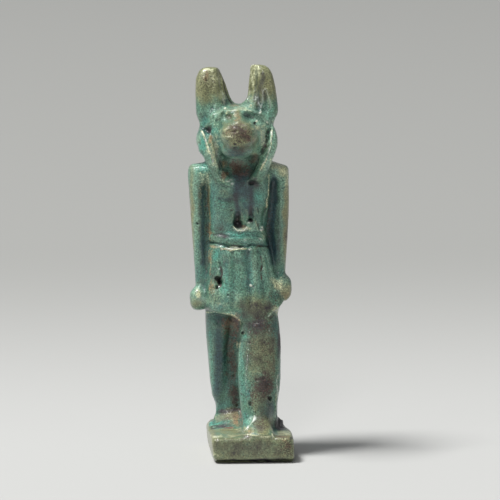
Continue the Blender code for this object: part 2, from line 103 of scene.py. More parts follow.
# How far points must face the viewer for a change: where it comes in, and how fast
HEM_FACING = 0.2
SETTLED_FACING = (-0.35, 5)
MELTED_FACING = (-0.3, 3)
CUT_FACING = (0.05, 2.5)
WORN_FACING = (0.0, 4)
PATCH_FACING = (-0.28, 4)
# painted highlights and pale patches keep to points that face the viewer
HIGHLIGHT_FACING = (0.04, 6)

# Edges that wander: reach and size of the wandering in millimetres, and its seed
STROKE_WANDER = (0.07, 1.1, 21)
PIT_WANDER = (0.06, 0.6, 41)
PATCH_WANDER = (0.12, 1.6, 61)

# A ripple is a sum of waves, divided by its usual peak
RIPPLE_WAVES = 14
RIPPLE_PEAK = 1.6

# Strokes are cut deeper and shallower along their way: by this share, with this size and seed
STROKE_UNEVENNESS = 0.35
STROKE_RIPPLE = (0.9, 31)

# Soft patches and nudges fade out at this many half sizes from their middle
PATCH_SPREAD = 1.4
NUDGE_SPREAD = 1.25

# A pit is a steep bowl with a flat bottom and a low rim, in shares of its half sizes and depth
PIT_BOWL = 1.2
RIM_MIDDLE = 1.15
RIM_WIDTH = 0.3
RIM_HEIGHT = 0.06

# The share of the way to their neighbours that points drift in a round of melting or easing
MELTING_SHARE = 0.5
EASING_SHARE = 0.5
EASING_REGROWTH = -0.53

# Surfaces set by depth move by no more than this, and nothing this far behind their rows moves
MOST_MOVED = 10.0
SETTLE_REACH = 1.5

# The kilt's left hem, as it is seen, and the band of the leg and web below it
HEM_LINE = [(-3.77, 12.81), (-3.48, 12.66), (-2.62, 12.66), (-1.82, 12.55), (-0.86, 12.30),
            (-0.20, 11.80), (0.04, 11.24)]
LEG_STRIP = (9.6, 11.0)

# The band's depth is measured at steps along the hem, over a width, and taken on below an edge
HEM_STEP = 0.25
HEM_WINDOW = 0.2
HEM_EDGE = 0.12

# The kilt's axis from the figure's middle line, its first groove, and where its pleats run
KILT_MIDDLE = (0.25 * MM, 1.75 * MM)
KILT_TOP = 0.0197
KILT_FOOT = 0.0122
KILT_REACH = 0.0037
FIRST_PLEAT = math.radians(-14.0)
PLEAT_PITCH = math.radians(26.5)
PLEAT_DEPTH = 0.000035

# A pleat's groove and the ridge between grooves, as shares of the pitch and of the depth
GROOVE_HALF = 0.34
RIDGE_START = 0.30
RIDGE_HEIGHT = 0.35

# The pleats come in over these lengths under the belt, above the hem and at the kilt's sides,
# and over these values of a normal's part along Y
BELT_FADE = 0.0008
HEM_FADE = 0.0030
SIDE_FADE = 0.0005
PLEAT_FACING = (0.1, -0.3)

# Unevenness of the glaze: heights and sizes of its broad and its fine swellings. Noise runs over
# half a unit either way, and worn places are rougher by so much
SWELL = 0.000040
SWELL_SIZE = 0.0014
GRAIN = 0.000014
GRAIN_SIZE = 0.00034
NOISE_SPAN = 2.0
WORN_ROUGHER = 7.0

# Pinholes: half width of the widest, share of the least, and how rare the wide ones are
PINHOLE = 0.00024
LEAST_PINHOLE = 0.12
PINHOLE_RARITY = 4.0
PINHOLE_DEPTH = 0.00010
PINHOLE_SPACING = 0.0017
PINHOLE_SEED = 3
MOST_POINTS = 1e6

# The block's left side leans in by this much at its foot, and its front edge is undercut
SIDE_LEAN = 0.50 * MM
UNDERCUT = 0.80 * MM
UNDERCUT_HEIGHT = 0.50 * MM
UNDERCUT_SLOPE = 0.22 * MM
UNDERSIDE_BAND = 0.06 * MM

# The ears and the block are olive all round: from which height, over what length, at most how much
EARS_OLIVE = (35.2, 2.5, 0.95)
BLOCK_OLIVE = (0.075, 0.25, 0.60)

# Hollows and raised edges: rounds of smoothing, and the rise in millimetres that counts in full
CURVES = {"crease": (12, 0.05), "bend": (90, 0.30)}

# Noise of the glaze: waves per millimetre, detail, roughness and warp
BROAD = (0.45, 3.0, 0.55)
CLOUD = (1.3, 4.0, 0.6, 0.3)
FLECK = (4.5, 3.0, 0.65)
SPECK = (6.5, 2.0, 0.7)
SPOTS = (6.0, 3.0, 0.7, 0.2)

# Values of the noises and masks over which things come in, and for some from what to what
BLUE_BAND = (0.35, 0.68)
LIGHT_BAND = (0.5, 0.75, 0.0, 0.5)
HOLLOW_BAND = (0.95, 1.45)
RAISED_BAND = (0.36, 0.10)
SPOT_BAND = (0.66, 0.74, 0.0, 0.9)
PINHOLE_BAND = (0.3, 0.9, 0.0, 0.6)
DARK_GRAIN = (0.58, 0.80, 0.38, 1.0)
BRIGHT_GRAIN = (0.80, 1.00, 0.0, 0.75)
ROUGH_BAND = (0.35, 0.7, 0.28, 0.44)
MATT_SHADE = (0.55, 0.95)
MASK_EDGE = (0.0, 0.15)

# How much hollows, edges, specks, bare and worn places and painted highlights count in colour
# and gloss
BROAD_HOLLOWS = 0.8
POOLED_SHARE = 0.5
EDGE_SHARE = 0.2
SPECK_SHARE = 0.19
OLIVE_CALM = 0.5
FINE_SHARE = 0.6
BARE_SHARE = 0.8
BARE_ROUGHER = 0.30
HIGHLIGHT_SMOOTHER = 0.25
COAT = 0.45
BARE_COAT_LOSS = 0.4
WORN_RELIEF = 1.2
BUMP_STRENGTH = 0.8
GLAZE_IOR = 1.5

# Lights: azimuth and elevation from the front in degrees, distance and width in metres
KEY_LIGHT = (-77, 66, 2.00, 0.62)
FRONT_FILL = (-12, 40, 1.50, 0.30)
LEFT_EDGE = (-52, 12, 1.20, 0.10)
RIGHT_EDGE = (48, 14, 1.20, 0.10)
RIGHT_EDGE_SHARE = 0.5
LIT_HEIGHT = 0.020
FLOOR_REACH = 3.0

# The sky turns from its low to its high colour between these heights of a unit sphere
SKY_BAND = (0.02, 0.5)


# Strokes pressed into the front: points, half width and depth, negative where it stands proud
HEAD_STROKES = [
    # the wig's edge over the brow, and the soft ridges beside the left eye
    ([(-2.84, 33.07), (-2.67, 33.84), (-2.23, 34.45), (-1.52, 34.77), (-0.75, 34.88), (0.02, 34.92),
      (1.12, 34.81), (2.0, 34.5), (2.66, 34.06), (3.16, 33.4)], 0.17, -0.1),
    ([(-1.65, 35.14), (-2.01, 34.56), (-2.23, 34.01)], 0.24, -0.1),
    ([(-2.56, 35.38), (-2.95, 34.5), (-3.11, 33.62), (-3.17, 32.63)], 0.3, -0.08),
    # the muzzle: its sides, its worn ridges and the line of the jaw
    ([(-0.36, 34.12), (-1.08, 33.35), (-1.68, 32.63)], 0.5, -0.12),
    ([(-0.14, 34.12), (0.63, 33.57), (1.34, 32.85)], 0.5, -0.1),
    ([(-1.55, 32.91), (-0.91, 33.03)], 0.2, -0.1),
    ([(-0.62, 33.47), (-0.26, 33.63)], 0.2, -0.1),
    ([(-1.55, 32.02), (-1.08, 31.88), (-0.64, 32.02)], 0.2, -0.05),
    ([(-1.3, 32.43), (-0.64, 32.52), (0.13, 32.63), (0.68, 33.01)], 0.26, 0.07),
    ([(0.02, 33.07), (0.79, 32.74), (1.23, 32.19)], 0.26, 0.06),
    ([(-1.79, 30.73), (-1.08, 30.5), (0.02, 30.43), (1.12, 30.59), (1.78, 30.98)], 0.32, 0.08),
    # the right ear: its lit inner edge, the cup with an arched head, and fine ridges
    ([(1.01, 40.0), (0.9, 38.24), (0.68, 36.37)], 0.85, 0.26),
    ([(1.75, 39.67), (1.75, 38.24), (1.69, 36.92), (1.51, 35.71)], 0.14, 0.1),
    ([(2.09, 39.12), (2.09, 37.14), (2.0, 35.38)], 0.36, 0.12),
    ([(2.55, 36.7), (2.66, 37.1), (2.94, 37.28), (3.19, 37.08), (3.23, 36.59)], 0.12, -0.1),
    ([(3.2, 36.15), (3.19, 35.16)], 0.11, -0.07),
    ([(2.33, 35.49), (2.32, 34.66)], 0.12, -0.13),
    ([(2.97, 33.78), (3.04, 33.67)], 0.13, -0.13),
    # the groove between the right cheek and the lappet, and that under the left ear
    ([(3.23, 32.63), (3.05, 31.86), (2.82, 31.09), (2.48, 30.27)], 0.3, 0.2),
    ([(-4.21, 33.01), (-3.77, 32.81), (-3.3, 32.41)], 0.3, 0.1),
    # both lappets: the bright outer ridge and the groove along the neck
    ([(-4.22, 32.74), (-3.97, 31.97), (-3.69, 31.34), (-3.48, 30.85), (-3.33, 30.27), (-3.17, 29.83),
      (-3.01, 29.39), (-2.82, 28.95)], 0.15, -0.2),
    ([(-3.06, 32.25), (-2.78, 31.53), (-2.6, 30.54)], 0.28, 0.1),
    ([(-2.6, 30.54), (-2.42, 29.88), (-2.23, 29.33), (-2.11, 28.34)], 0.32, 0.18),
    ([(3.41, 32.96), (3.54, 32.63), (3.54, 32.11), (3.46, 31.64), (3.28, 31.09), (3.26, 30.54),
      (3.08, 29.99), (2.83, 29.39), (2.53, 28.73), (2.33, 28.18)], 0.14, -0.18),
    ([(2.07, 29.44), (1.83, 28.56), (1.63, 27.79)], 0.3, 0.1),
    ([(-2.48, 27.51), (-2.01, 27.13), (-1.41, 26.78), (-0.95, 26.74)], 0.14, -0.13),
    ([(-0.99, 26.76), (-0.88, 26.76)], 0.16, -0.12),
    ([(-1.32, 27.18), (-1.21, 27.11)], 0.16, -0.13),
    ([(-2.56, 27.18), (-2.01, 26.76), (-1.41, 26.43)], 0.22, 0.07),
]
TRUNK_STROKES = [
    # the chest: its right edge, the soft line under it, and the shallow ridges over the gouge
    ([(3.01, 27.77), (3.17, 27.13), (3.19, 26.47), (3.08, 25.15), (2.96, 24.32)], 0.13, -0.12),
    ([(-3.41, 26.47), (-3.43, 24.49), (-3.34, 22.29), (-3.32, 20.64)], 0.18, -0.05),
    ([(-2.29, 25.09), (-1.57, 25.06), (-0.86, 25.13)], 0.32, 0.09),
    ([(-0.75, 24.88), (0.35, 25.1)], 0.3, 0.04),
    ([(0.73, 23.89), (0.81, 23.45), (0.77, 23.0)], 0.2, -0.08),
    ([(0.4, 24.0), (0.48, 23.34)], 0.18, 0.08),
    ([(1.43, 24.05), (1.43, 23.33)], 0.18, 0.08),
    # the gouge's worn rim, and the cracks and bright chips beside it
    ([(-0.8, 22.17), (-0.56, 21.87), (-0.32, 21.66), (0.03, 21.61), (0.4, 21.72), (0.57, 21.79),
      (0.81, 22.05)], 0.13, -0.15),
    ([(0.78, 22.65), (0.92, 22.54), (1.1, 22.6)], 0.12, -0.13),
    ([(1.18, 22.62), (1.62, 22.91)], 0.13, -0.08),
    ([(1.76, 24.19), (1.89, 23.78), (2.0, 23.48)], 0.11, -0.09),
    ([(1.93, 24.1), (2.07, 23.66)], 0.12, 0.14),
    ([(1.67, 22.82), (1.85, 22.1), (2.04, 21.69)], 0.11, -0.1),
    ([(1.96, 22.46), (2.1, 21.96)], 0.13, 0.12),
    ([(2.4, 22.03), (2.51, 21.94)], 0.12, -0.12),
    ([(2.31, 21.71), (2.62, 21.59)], 0.14, -0.15),
    ([(2.07, 20.82), (2.31, 20.77)], 0.13, -0.12),
    # the belt between its two grooves, and the kilt's bright top edge
    ([(-3.33, 21.24), (-2.62, 21.19), (-1.08, 21.02), (0.79, 20.97), (2.44, 21.08)], 0.24, 0.06),
    ([(-3.3, 20.36), (-2.4, 20.25), (-1.76, 20.11), (-1.28, 19.98), (-0.39, 19.88), (0.4, 20.01),
      (1.58, 20.07), (2.6, 20.11), (3.1, 19.96)], 0.18, 0.16),
    ([(-1.46, 19.98), (-0.39, 19.88), (0.24, 19.98)], 0.14, 0.16),
    ([(-2.11, 19.7), (-1.76, 19.67), (-1.45, 19.77), (-0.98, 19.54), (-0.68, 19.66), (-0.26, 19.65),
      (0.4, 19.67)], 0.13, -0.22),
    ([(1.23, 19.63), (1.34, 19.59)], 0.13, -0.1),
]
KILT_STROKES = [
    # the left border, the strip beside it, and the crack that runs into the hole
    ([(-3.22, 19.65), (-3.26, 17.12)], 0.18, -0.05),
    ([(-2.62, 19.43), (-2.6, 16.79)], 0.32, 0.08),
    ([(-2.16, 18.11), (-2.11, 17.34), (-2.09, 16.57)], 0.14, 0.14),
    ([(-3.11, 14.92), (-2.88, 14.83)], 0.12, -0.1),
    ([(-2.64, 15.08), (-2.4, 15.19)], 0.12, -0.1),
    ([(1.21, 15.8), (1.34, 15.69)], 0.13, -0.15),
    # the hem
    ([(-3.84, 12.84), (-3.46, 12.62), (-2.89, 12.74), (-2.07, 12.68), (-1.25, 12.46), (-0.68, 12.27),
      (-0.24, 11.98), (-0.02, 11.71), (0.04, 11.29)], 0.12, -0.07),
    ([(4.7, 13.84), (3.86, 13.07), (3.23, 12.17)], 0.16, -0.1),
    ([(4.86, 13.49), (4.09, 12.83), (3.43, 12.0)], 0.26, 0.1),
]
FOOT_STROKES = [
    # a chip of glaze on the advanced leg, its inner edge, and the seam down its outer side
    ([(0.19, 9.99), (0.96, 9.77)], 0.3, -0.05),
    ([(0.75, 9.44), (1.06, 9.33)], 0.14, 0.12),
    ([(-0.02, 9.31), (-0.15, 7.99), (-0.18, 6.78)], 0.15, -0.08),
    ([(4.19, 5.9), (4.16, 3.26)], 0.11, -0.07),
    ([(3.96, 3.81), (3.83, 0.73)], 0.11, -0.09),
    ([(4.33, 6.12), (4.11, 3.04), (4.0, 1.06)], 0.13, 0.07),
    # the sharp ridge of the instep, and the streaks on the rear foot
    ([(1.5, 1.12), (1.49, 0.73), (1.31, 0.35), (0.84, -0.06), (0.39, -0.47)], 0.15, -0.13),
    ([(-3.06, 0.18), (-2.29, 0.38), (-1.46, 0.63)], 0.14, -0.11),
    ([(-3.17, -0.03), (-2.4, 0.05), (-1.63, 0.19)], 0.14, 0.16),
    ([(-1.3, -0.21), (-0.2, -0.32)], 0.14, -0.06),
    # dull ridges along the block's top front edge
    ([(-3.06, -0.96), (-2.4, -0.8), (-2.07, -0.8)], 0.15, -0.08),
    ([(-1.46, -1.05), (-0.75, -0.91), (0.13, -0.79), (2.0, -0.85), (3.1, -0.85)], 0.14, -0.07),
    ([(3.59, -0.79), (3.72, -1.12)], 0.13, -0.12),
    ([(4.11, -1.23), (5.17, -1.23)], 0.15, -0.08),
]

# Hollows and pits: middle, half sizes and depth
PITS = [
    (-1.25, 34.28, 0.44, 0.2, 0.05), (1.07, 34.24, 0.73, 0.33, 0.07), (1.67, 33.46, 0.17, 0.17, 0.4),
    (-0.17, 31.49, 0.13, 0.12, 0.14), (-0.62, 31.25, 0.14, 0.13, 0.16), (-0.54, 30.77, 0.19, 0.12, 0.14),
    (0.19, 33.07, 0.33, 0.18, 0.08), (0.35, 32.36, 0.18, 0.15, 0.08), (3.22, 32.39, 0.12, 0.12, 0.2),
    (3.01, 32.04, 0.13, 0.14, 0.22), (2.95, 31.58, 0.13, 0.13, 0.2), (2.82, 31.11, 0.13, 0.14, 0.22),
    (2.62, 30.72, 0.14, 0.13, 0.2), (2.4, 30.34, 0.12, 0.12, 0.2), (-2.22, 28.08, 0.18, 0.2, 0.16),
    (-1.89, 27.84, 0.18, 0.14, 0.16), (-1.47, 27.46, 0.2, 0.15, 0.16), (1.29, 26.93, 0.42, 0.24, 0.24),
    (-0.13, 22.36, 0.44, 0.46, 0.5), (0.4, 22.23, 0.31, 0.29, 0.24), (1.3, 23.78, 0.26, 0.66, 0.14),
    (1.28, 23.23, 0.31, 0.4, 0.2), (-0.26, 23.22, 0.4, 0.55, 0.2), (-0.57, 22.58, 0.24, 0.4, 0.2),
    (1.17, 22.89, 0.33, 0.2, 0.42), (-4.69, 22.47, 0.12, 0.12, 0.3), (-3.87, 26.36, 0.18, 0.15, 0.16),
    (-3.72, 25.15, 0.12, 0.15, 0.14), (-3.78, 23.61, 0.12, 0.15, 0.14), (-2.46, 16.44, 0.35, 0.22, 0.34),
    (-2.22, 16.04, 0.22, 0.37, 0.7), (-2.53, 15.45, 0.14, 0.28, 0.34), (-2.19, 17.61, 0.11, 0.15, 0.14),
    (-1.24, 14.57, 0.12, 0.12, 0.18), (1.52, 15.56, 0.18, 0.11, 0.2), (2.33, 18.66, 0.1, 0.29, 0.14),
    (2.38, 17.56, 0.11, 0.33, 0.16), (0.29, 10.43, 0.15, 0.19, 0.32), (-2.4, 11.6, 0.1, 0.22, 0.12),
    (1.11, 2.61, 0.23, 0.29, 0.2), (3.26, 3.18, 0.18, 0.29, 0.34), (1.89, 5.24, 0.33, 0.15, 0.08),
    (2.61, 5.42, 0.24, 0.26, 0.1), (3.1, 4.69, 0.29, 0.22, 0.08), (3.54, 4.03, 0.18, 0.29, 0.08),
    (1.08, 3.87, 0.18, 0.11, 0.1), (-3.64, 38.2, 0.18, 0.14, 0.12), (-3.11, 38.64, 0.29, 0.1, 0.08),
    (2.45, 38.86, 0.15, 0.14, 0.12), (3.87, 12.08, 0.17, 0.1, 0.12),
]

# Surfaces set by their depth towards the viewer: rows of a height and its (across, depth)
LIFTED = [
    # the foot of the right ear, where it meets the brow
    [(37.36, [(0.79, 1.8), (1.12, 2.3), (1.45, 2.5), (1.84, 2.5)]),
     (36.48, [(0.63, 2.0), (1.01, 2.5), (1.45, 2.7), (1.89, 2.8)]),
     (35.93, [(0.35, 2.3), (0.9, 2.9), (1.45, 3.1), (1.95, 3.2)]),
     (35.49, [(0.13, 3.2), (0.79, 3.7), (1.45, 3.7), (2.0, 3.5)]),
     (35.05, [(0.13, 3.6), (0.79, 4.0), (1.45, 3.8), (2.0, 3.5)])],
    # the right cheek, between the muzzle and the wig
    [(34.72, [(1.67, 3.4), (2.11, 3.4), (2.44, 3.4), (2.88, 3.3), (3.32, 3.3)]),
     (33.95, [(1.51, 4.9), (2.0, 4.7), (2.44, 4.5), (2.88, 4.3), (3.32, 4.2)]),
     (33.18, [(1.56, 6.4), (2.06, 6.0), (2.44, 5.2), (2.88, 4.7), (3.21, 4.4)]),
     (32.19, [(1.62, 7.6), (2.11, 6.2), (2.5, 5.3), (2.77, 4.8), (2.99, 4.2)]),
     (31.31, [(1.4, 7.6), (1.89, 6.2), (2.22, 5.2), (2.49, 4.6), (2.66, 4.1)]),
     (30.54, [(0.9, 6.6), (1.45, 5.6), (1.89, 4.6), (2.22, 4.1), (2.44, 3.9)]),
     (29.88, [(0.79, 3.2), (1.34, 3.2), (1.78, 3.2), (2.11, 3.4), (2.33, 3.6)])],
    # the slope of the left arm into its recess
    [(27.68, [(-4.6, 2.6), (-4.16, 2.6), (-3.83, 2.5), (-3.55, 2.5), (-3.22, 2.6)]),
     (27.02, [(-4.6, 2.4), (-4.16, 2.3), (-3.83, 2.1), (-3.55, 2.0), (-3.22, 2.2)]),
     (26.47, [(-4.6, 2.3), (-4.16, 2.1), (-3.83, 1.8), (-3.55, 1.7), (-3.22, 1.8)]),
     (25.48, [(-4.6, 2.2), (-4.16, 1.9), (-3.83, 1.6), (-3.55, 1.5), (-3.28, 1.4)]),
     (23.94, [(-4.6, 2.0), (-4.16, 1.8), (-3.83, 1.5), (-3.55, 1.4), (-3.3, 1.1)]),
     (22.29, [(-4.6, 1.8), (-4.16, 1.7), (-3.83, 1.4), (-3.55, 1.3), (-3.3, 1.1)]),
     (20.64, [(-4.6, 1.6), (-4.16, 1.6), (-3.83, 1.4), (-3.55, 1.3), (-3.3, 1.1)]),
     (18.88, [(-4.6, 1.4), (-4.16, 1.4), (-3.83, 1.2), (-3.55, 1.0), (-3.3, 1.3)])],
    # the slope of the right arm into its recess
    [(28.12, [(3.21, 2.3), (3.65, 2.1), (3.98, 2.0), (4.31, 2.0), (4.86, 2.1)]),
     (27.24, [(3.27, 1.9), (3.6, 1.4), (3.87, 1.4), (4.31, 1.8), (4.86, 2.0)]),
     (26.14, [(3.27, 1.6), (3.49, 1.2), (3.76, 1.2), (4.2, 1.5), (4.86, 1.8)]),
     (24.49, [(3.05, 1.5), (3.32, 0.9), (3.65, 0.9), (4.09, 1.3), (4.86, 1.6)]),
     (23.28, [(2.72, 1.4), (3.1, 0.7), (3.54, 0.7), (4.04, 1.1), (4.86, 1.5)]),
     (21.74, [(2.5, 1.2), (2.88, 0.2), (3.32, 0.3), (3.98, 0.9), (4.86, 1.4)]),
     (20.31, [(2.83, 1.4), (3.16, 0.3), (3.49, 0.3), (3.98, 0.9), (4.75, 1.2)]),
     (19.32, [(3.21, 1.2), (3.43, 0.5), (3.65, 0.5), (4.04, 0.9), (4.75, 1.1)]),
     (18.22, [(3.38, 1.1), (3.54, 0.8), (3.76, 0.7), (4.09, 0.9), (4.75, 1.0)])],
]
SETTLED = [
    # the rear foot, low and worn into the block
    [(1.94, [(-2.73, -2.3), (-2.29, -1.95), (-1.52, -1.7), (-0.75, -1.7), (0.08, -1.8)]),
     (1.56, [(-2.95, -2.6), (-2.34, -1.9), (-1.52, -1.45), (-0.75, -1.3), (0.08, -1.4)]),
     (1.17, [(-3.11, -2.7), (-2.4, -1.8), (-1.52, -1.1), (-0.75, -0.8), (0.08, -0.9)]),
     (0.79, [(-3.28, -2.6), (-2.51, -1.55), (-1.52, -0.7), (-0.75, -0.3), (0.13, -0.4)]),
     (0.4, [(-3.5, -1.9), (-2.62, -0.9), (-1.52, -0.1), (-0.75, 0.3), (0.19, 0.4)]),
     (0.07, [(-3.5, -0.6), (-2.62, 0.1), (-1.52, 0.6), (-0.75, 1.0), (0.24, 1.2)]),
     (-0.26, [(-3.5, 0.9), (-2.62, 1.5), (-1.52, 1.6), (-0.75, 1.7), (0.3, 1.9)])],
]

# Small shifts of the whole form on the picture plane: middle, half sizes, across and up
NUDGES = [
    (0.02, 35.05, 2.86, 0.66, 0.0, -0.18), (-2.95, 2.49, 0.44, 0.99, 0.2, 0.0),
    (4.31, 4.14, 0.44, 1.54, -0.1, 0.0), (-3.06, 39.78, 1.32, 0.77, 0.2, 0.0),
    (2.0, 39.78, 1.21, 0.77, -0.14, 0.0), (-4.6, 31.42, 0.77, 1.32, -0.14, 0.0),
    (-4.49, 30.32, 0.66, 0.55, -0.24, 0.0), (4.64, 29.11, 0.99, 0.66, -0.12, -0.2),
    (4.42, 13.6, 0.88, 0.99, 0.44, 0.0), (-5.15, 15.47, 0.66, 0.55, 0.22, -0.06),
    (4.53, 9.09, 0.55, 3.96, 0.13, 0.0), (4.31, 2.6, 0.44, 1.76, -0.18, 0.0),
    (-3.72, 8.54, 0.55, 4.4, 0.14, 0.0), (-2.89, 1.01, 0.66, 0.4, -0.45, 0.12),
    (5.19, 0.29, 0.66, 0.77, -0.56, 0.0),
]

# Where the glaze lies thick and melts the forms: middle, half sizes and strength
MELTED = [
    (-1.63, 34.5, 0.88, 0.55, 0.9), (1.12, 34.28, 0.88, 0.55, 0.6), (-0.15, 34.56, 0.66, 0.44, 1.0),
    (-2.51, 35.16, 0.77, 0.66, 1.0), (1.01, 35.71, 0.88, 0.66, 1.0), (-4.71, 28.56, 0.88, 0.66, 1.0),
    (-3.17, 34.06, 1.21, 1.1, 0.9), (2.99, 33.95, 0.99, 1.1, 0.8), (0.02, 35.49, 1.98, 0.55, 0.5),
    (-2.18, 31.86, 0.55, 1.87, 0.85), (1.89, 31.97, 0.55, 1.87, 0.85), (-0.09, 30.43, 2.09, 0.77, 0.95),
    (-0.2, 33.62, 1.76, 0.77, 0.5), (-2.84, 32.3, 0.77, 1.32, 0.7), (2.44, 31.97, 0.66, 1.54, 0.6),
    (-2.4, 29.66, 0.55, 1.54, 0.5), (1.78, 29.44, 0.66, 1.32, 0.5), (-3.94, 27.46, 0.88, 0.88, 0.9),
    (3.98, 27.68, 0.99, 0.99, 0.8), (-1.52, 0.95, 2.09, 1.21, 1.0), (2.88, 0.29, 1.32, 0.99, 0.8),
    (0.79, 0.4, 0.77, 0.99, 0.5), (0.02, 20.42, 3.3, 0.55, 0.3), (0.9, -0.96, 5.06, 0.44, 1.0),
    (5.74, -1.91, 0.44, 1.54, 0.8), (-3.06, -1.91, 0.44, 1.54, 0.8), (3.65, 12.72, 1.1, 1.1, 0.6),
    (1.67, 11.84, 1.76, 1.1, 0.6),
]

# Where the skin is worn rough: middle, half sizes and strength
WORN = [
    (-1.74, 0.4, 0.66, 0.33, 0.9), (1.89, 35.82, 0.44, 0.88, 0.9), (3.54, 22.84, 0.55, 5.28, 0.9),
    (-0.53, 33.07, 0.55, 0.44, 0.9), (-2.29, 21.19, 0.88, 0.44, 0.9), (1.89, 11.4, 0.77, 0.44, 0.9),
    (1.67, 36.7, 0.44, 1.54, 0.9), (-1.52, 1.72, 1.32, 0.66, 1.0), (2.0, 2.93, 1.1, 1.76, 0.5),
    (1.34, 35.6, 0.66, 0.88, 1.0), (2.11, 0.73, 1.1, 1.1, 0.8), (-1.52, 20.97, 1.32, 0.33, 0.7),
    (-1.74, 33.95, 0.55, 0.44, 0.9), (4.42, 0.4, 0.88, 0.99, 1.0), (3.65, 19.54, 0.55, 1.98, 0.8),
    (-2.51, 35.16, 0.77, 0.66, 0.8), (1.12, 35.71, 0.77, 0.66, 0.8), (-4.82, 28.56, 0.99, 0.77, 0.8),
    (-3.83, 23.39, 0.44, 4.84, 0.9), (3.32, 23.94, 0.77, 4.62, 0.8), (-0.86, 6.89, 0.88, 5.5, 0.6),
    (0.02, 32.3, 1.98, 1.87, 1.0), (-3.72, 38.68, 1.43, 1.1, 0.45), (-1.74, 27.9, 0.99, 0.88, 0.9),
    (2.44, 11.62, 1.65, 1.32, 0.7), (2.77, 4.8, 1.32, 1.76, 0.8), (-1.41, 1.17, 1.76, 1.32, 1.0),
    (0.02, 29.99, 1.54, 0.55, 0.7), (2.44, 27.68, 0.66, 0.88, 0.5), (-3.39, 22.29, 0.33, 6.6, 0.8),
    (5.3, -2.24, 0.99, 1.54, 0.8), (1.56, 29.66, 0.88, 0.88, 0.8), (2.88, 31.42, 0.55, 1.54, 0.7),
    (-0.42, 35.6, 1.54, 0.44, 0.5), (-3.06, 31.42, 0.55, 1.1, 0.5), (3.1, 22.62, 0.66, 3.3, 0.6),
    (2.66, 0.29, 1.32, 0.99, 0.6), (3.87, 14.04, 0.99, 1.32, 0.6),
]

# Patches of colour seen from the front, painted shade and painted light among them, from the
# ears down: middle, half sizes and strength
# Painted highlights: glints painted on ridges and edges, and where faint, painted light on lit faces
PAINTED_HIGHLIGHTS = [
    # ears
    (-1.87, 36.7, 0.08, 0.15, 0.8), (-1.87, 36.1, 0.08, 0.13, 0.8), (-1.76, 36.1, 0.17, 0.66, 0.25),
    # face and wig
    (-1.69, 35.21, 0.12, 0.11, 0.7), (2.31, 35.32, 0.08, 0.2, 0.6), (2.31, 34.68, 0.1, 0.11, 0.9),
    (-0.37, 33.58, 0.15, 0.09, 0.5), (1.96, 33.71, 0.1, 0.09, 0.7), (2.97, 33.75, 0.11, 0.11, 0.8),
    (-1.23, 32.96, 0.19, 0.07, 0.4), (-1.25, 31.95, 0.15, 0.07, 0.35), (2.55, 31.75, 0.44, 0.88, 0.24),
    (-3.72, 31.47, 0.1, 0.2, 0.8), (-3.37, 30.63, 0.09, 0.2, 0.6), (-2.62, 29.99, 0.55, 1.43, 0.12),
    (1.78, 29.88, 0.44, 0.55, 0.1),
    # shoulders and chest
    (-2.97, 29.31, 0.1, 0.18, 0.8), (3.87, 29.11, 0.99, 0.88, 0.18), (5.3, 28.01, 0.37, 0.55, 0.15),
    (-1.14, 27.13, 0.29, 0.09, 0.6), (-0.91, 26.74, 0.2, 0.08, 0.7),
    # arms and belt
    (1.01, 22.62, 0.12, 0.09, 0.8), (0.02, 21.85, 0.88, 0.33, 0.1), (2.46, 22.01, 0.12, 0.09, 1.0),
    (2.46, 21.69, 0.19, 0.11, 1.0), (0.53, 20.72, 0.13, 0.09, 0.6), (2.2, 20.84, 0.14, 0.09, 0.7),
    (1.04, 19.63, 0.13, 0.1, 0.7),
    # kilt and fists
    (5.19, 16.57, 0.44, 0.55, 0.1), (1.26, 15.75, 0.14, 0.1, 0.9), (-4.27, 14.04, 0.55, 0.44, 0.12),
    (-0.86, 11.4, 0.55, 0.55, 0.1),
    # feet and block
    (1.54, 0.87, 0.12, 0.22, 0.9), (3.6, 1.17, 0.44, 0.88, 0.12), (0.84, 0.03, 0.15, 0.15, 0.9),
    (-2.51, -0.9, 0.33, 0.1, 0.5),
]
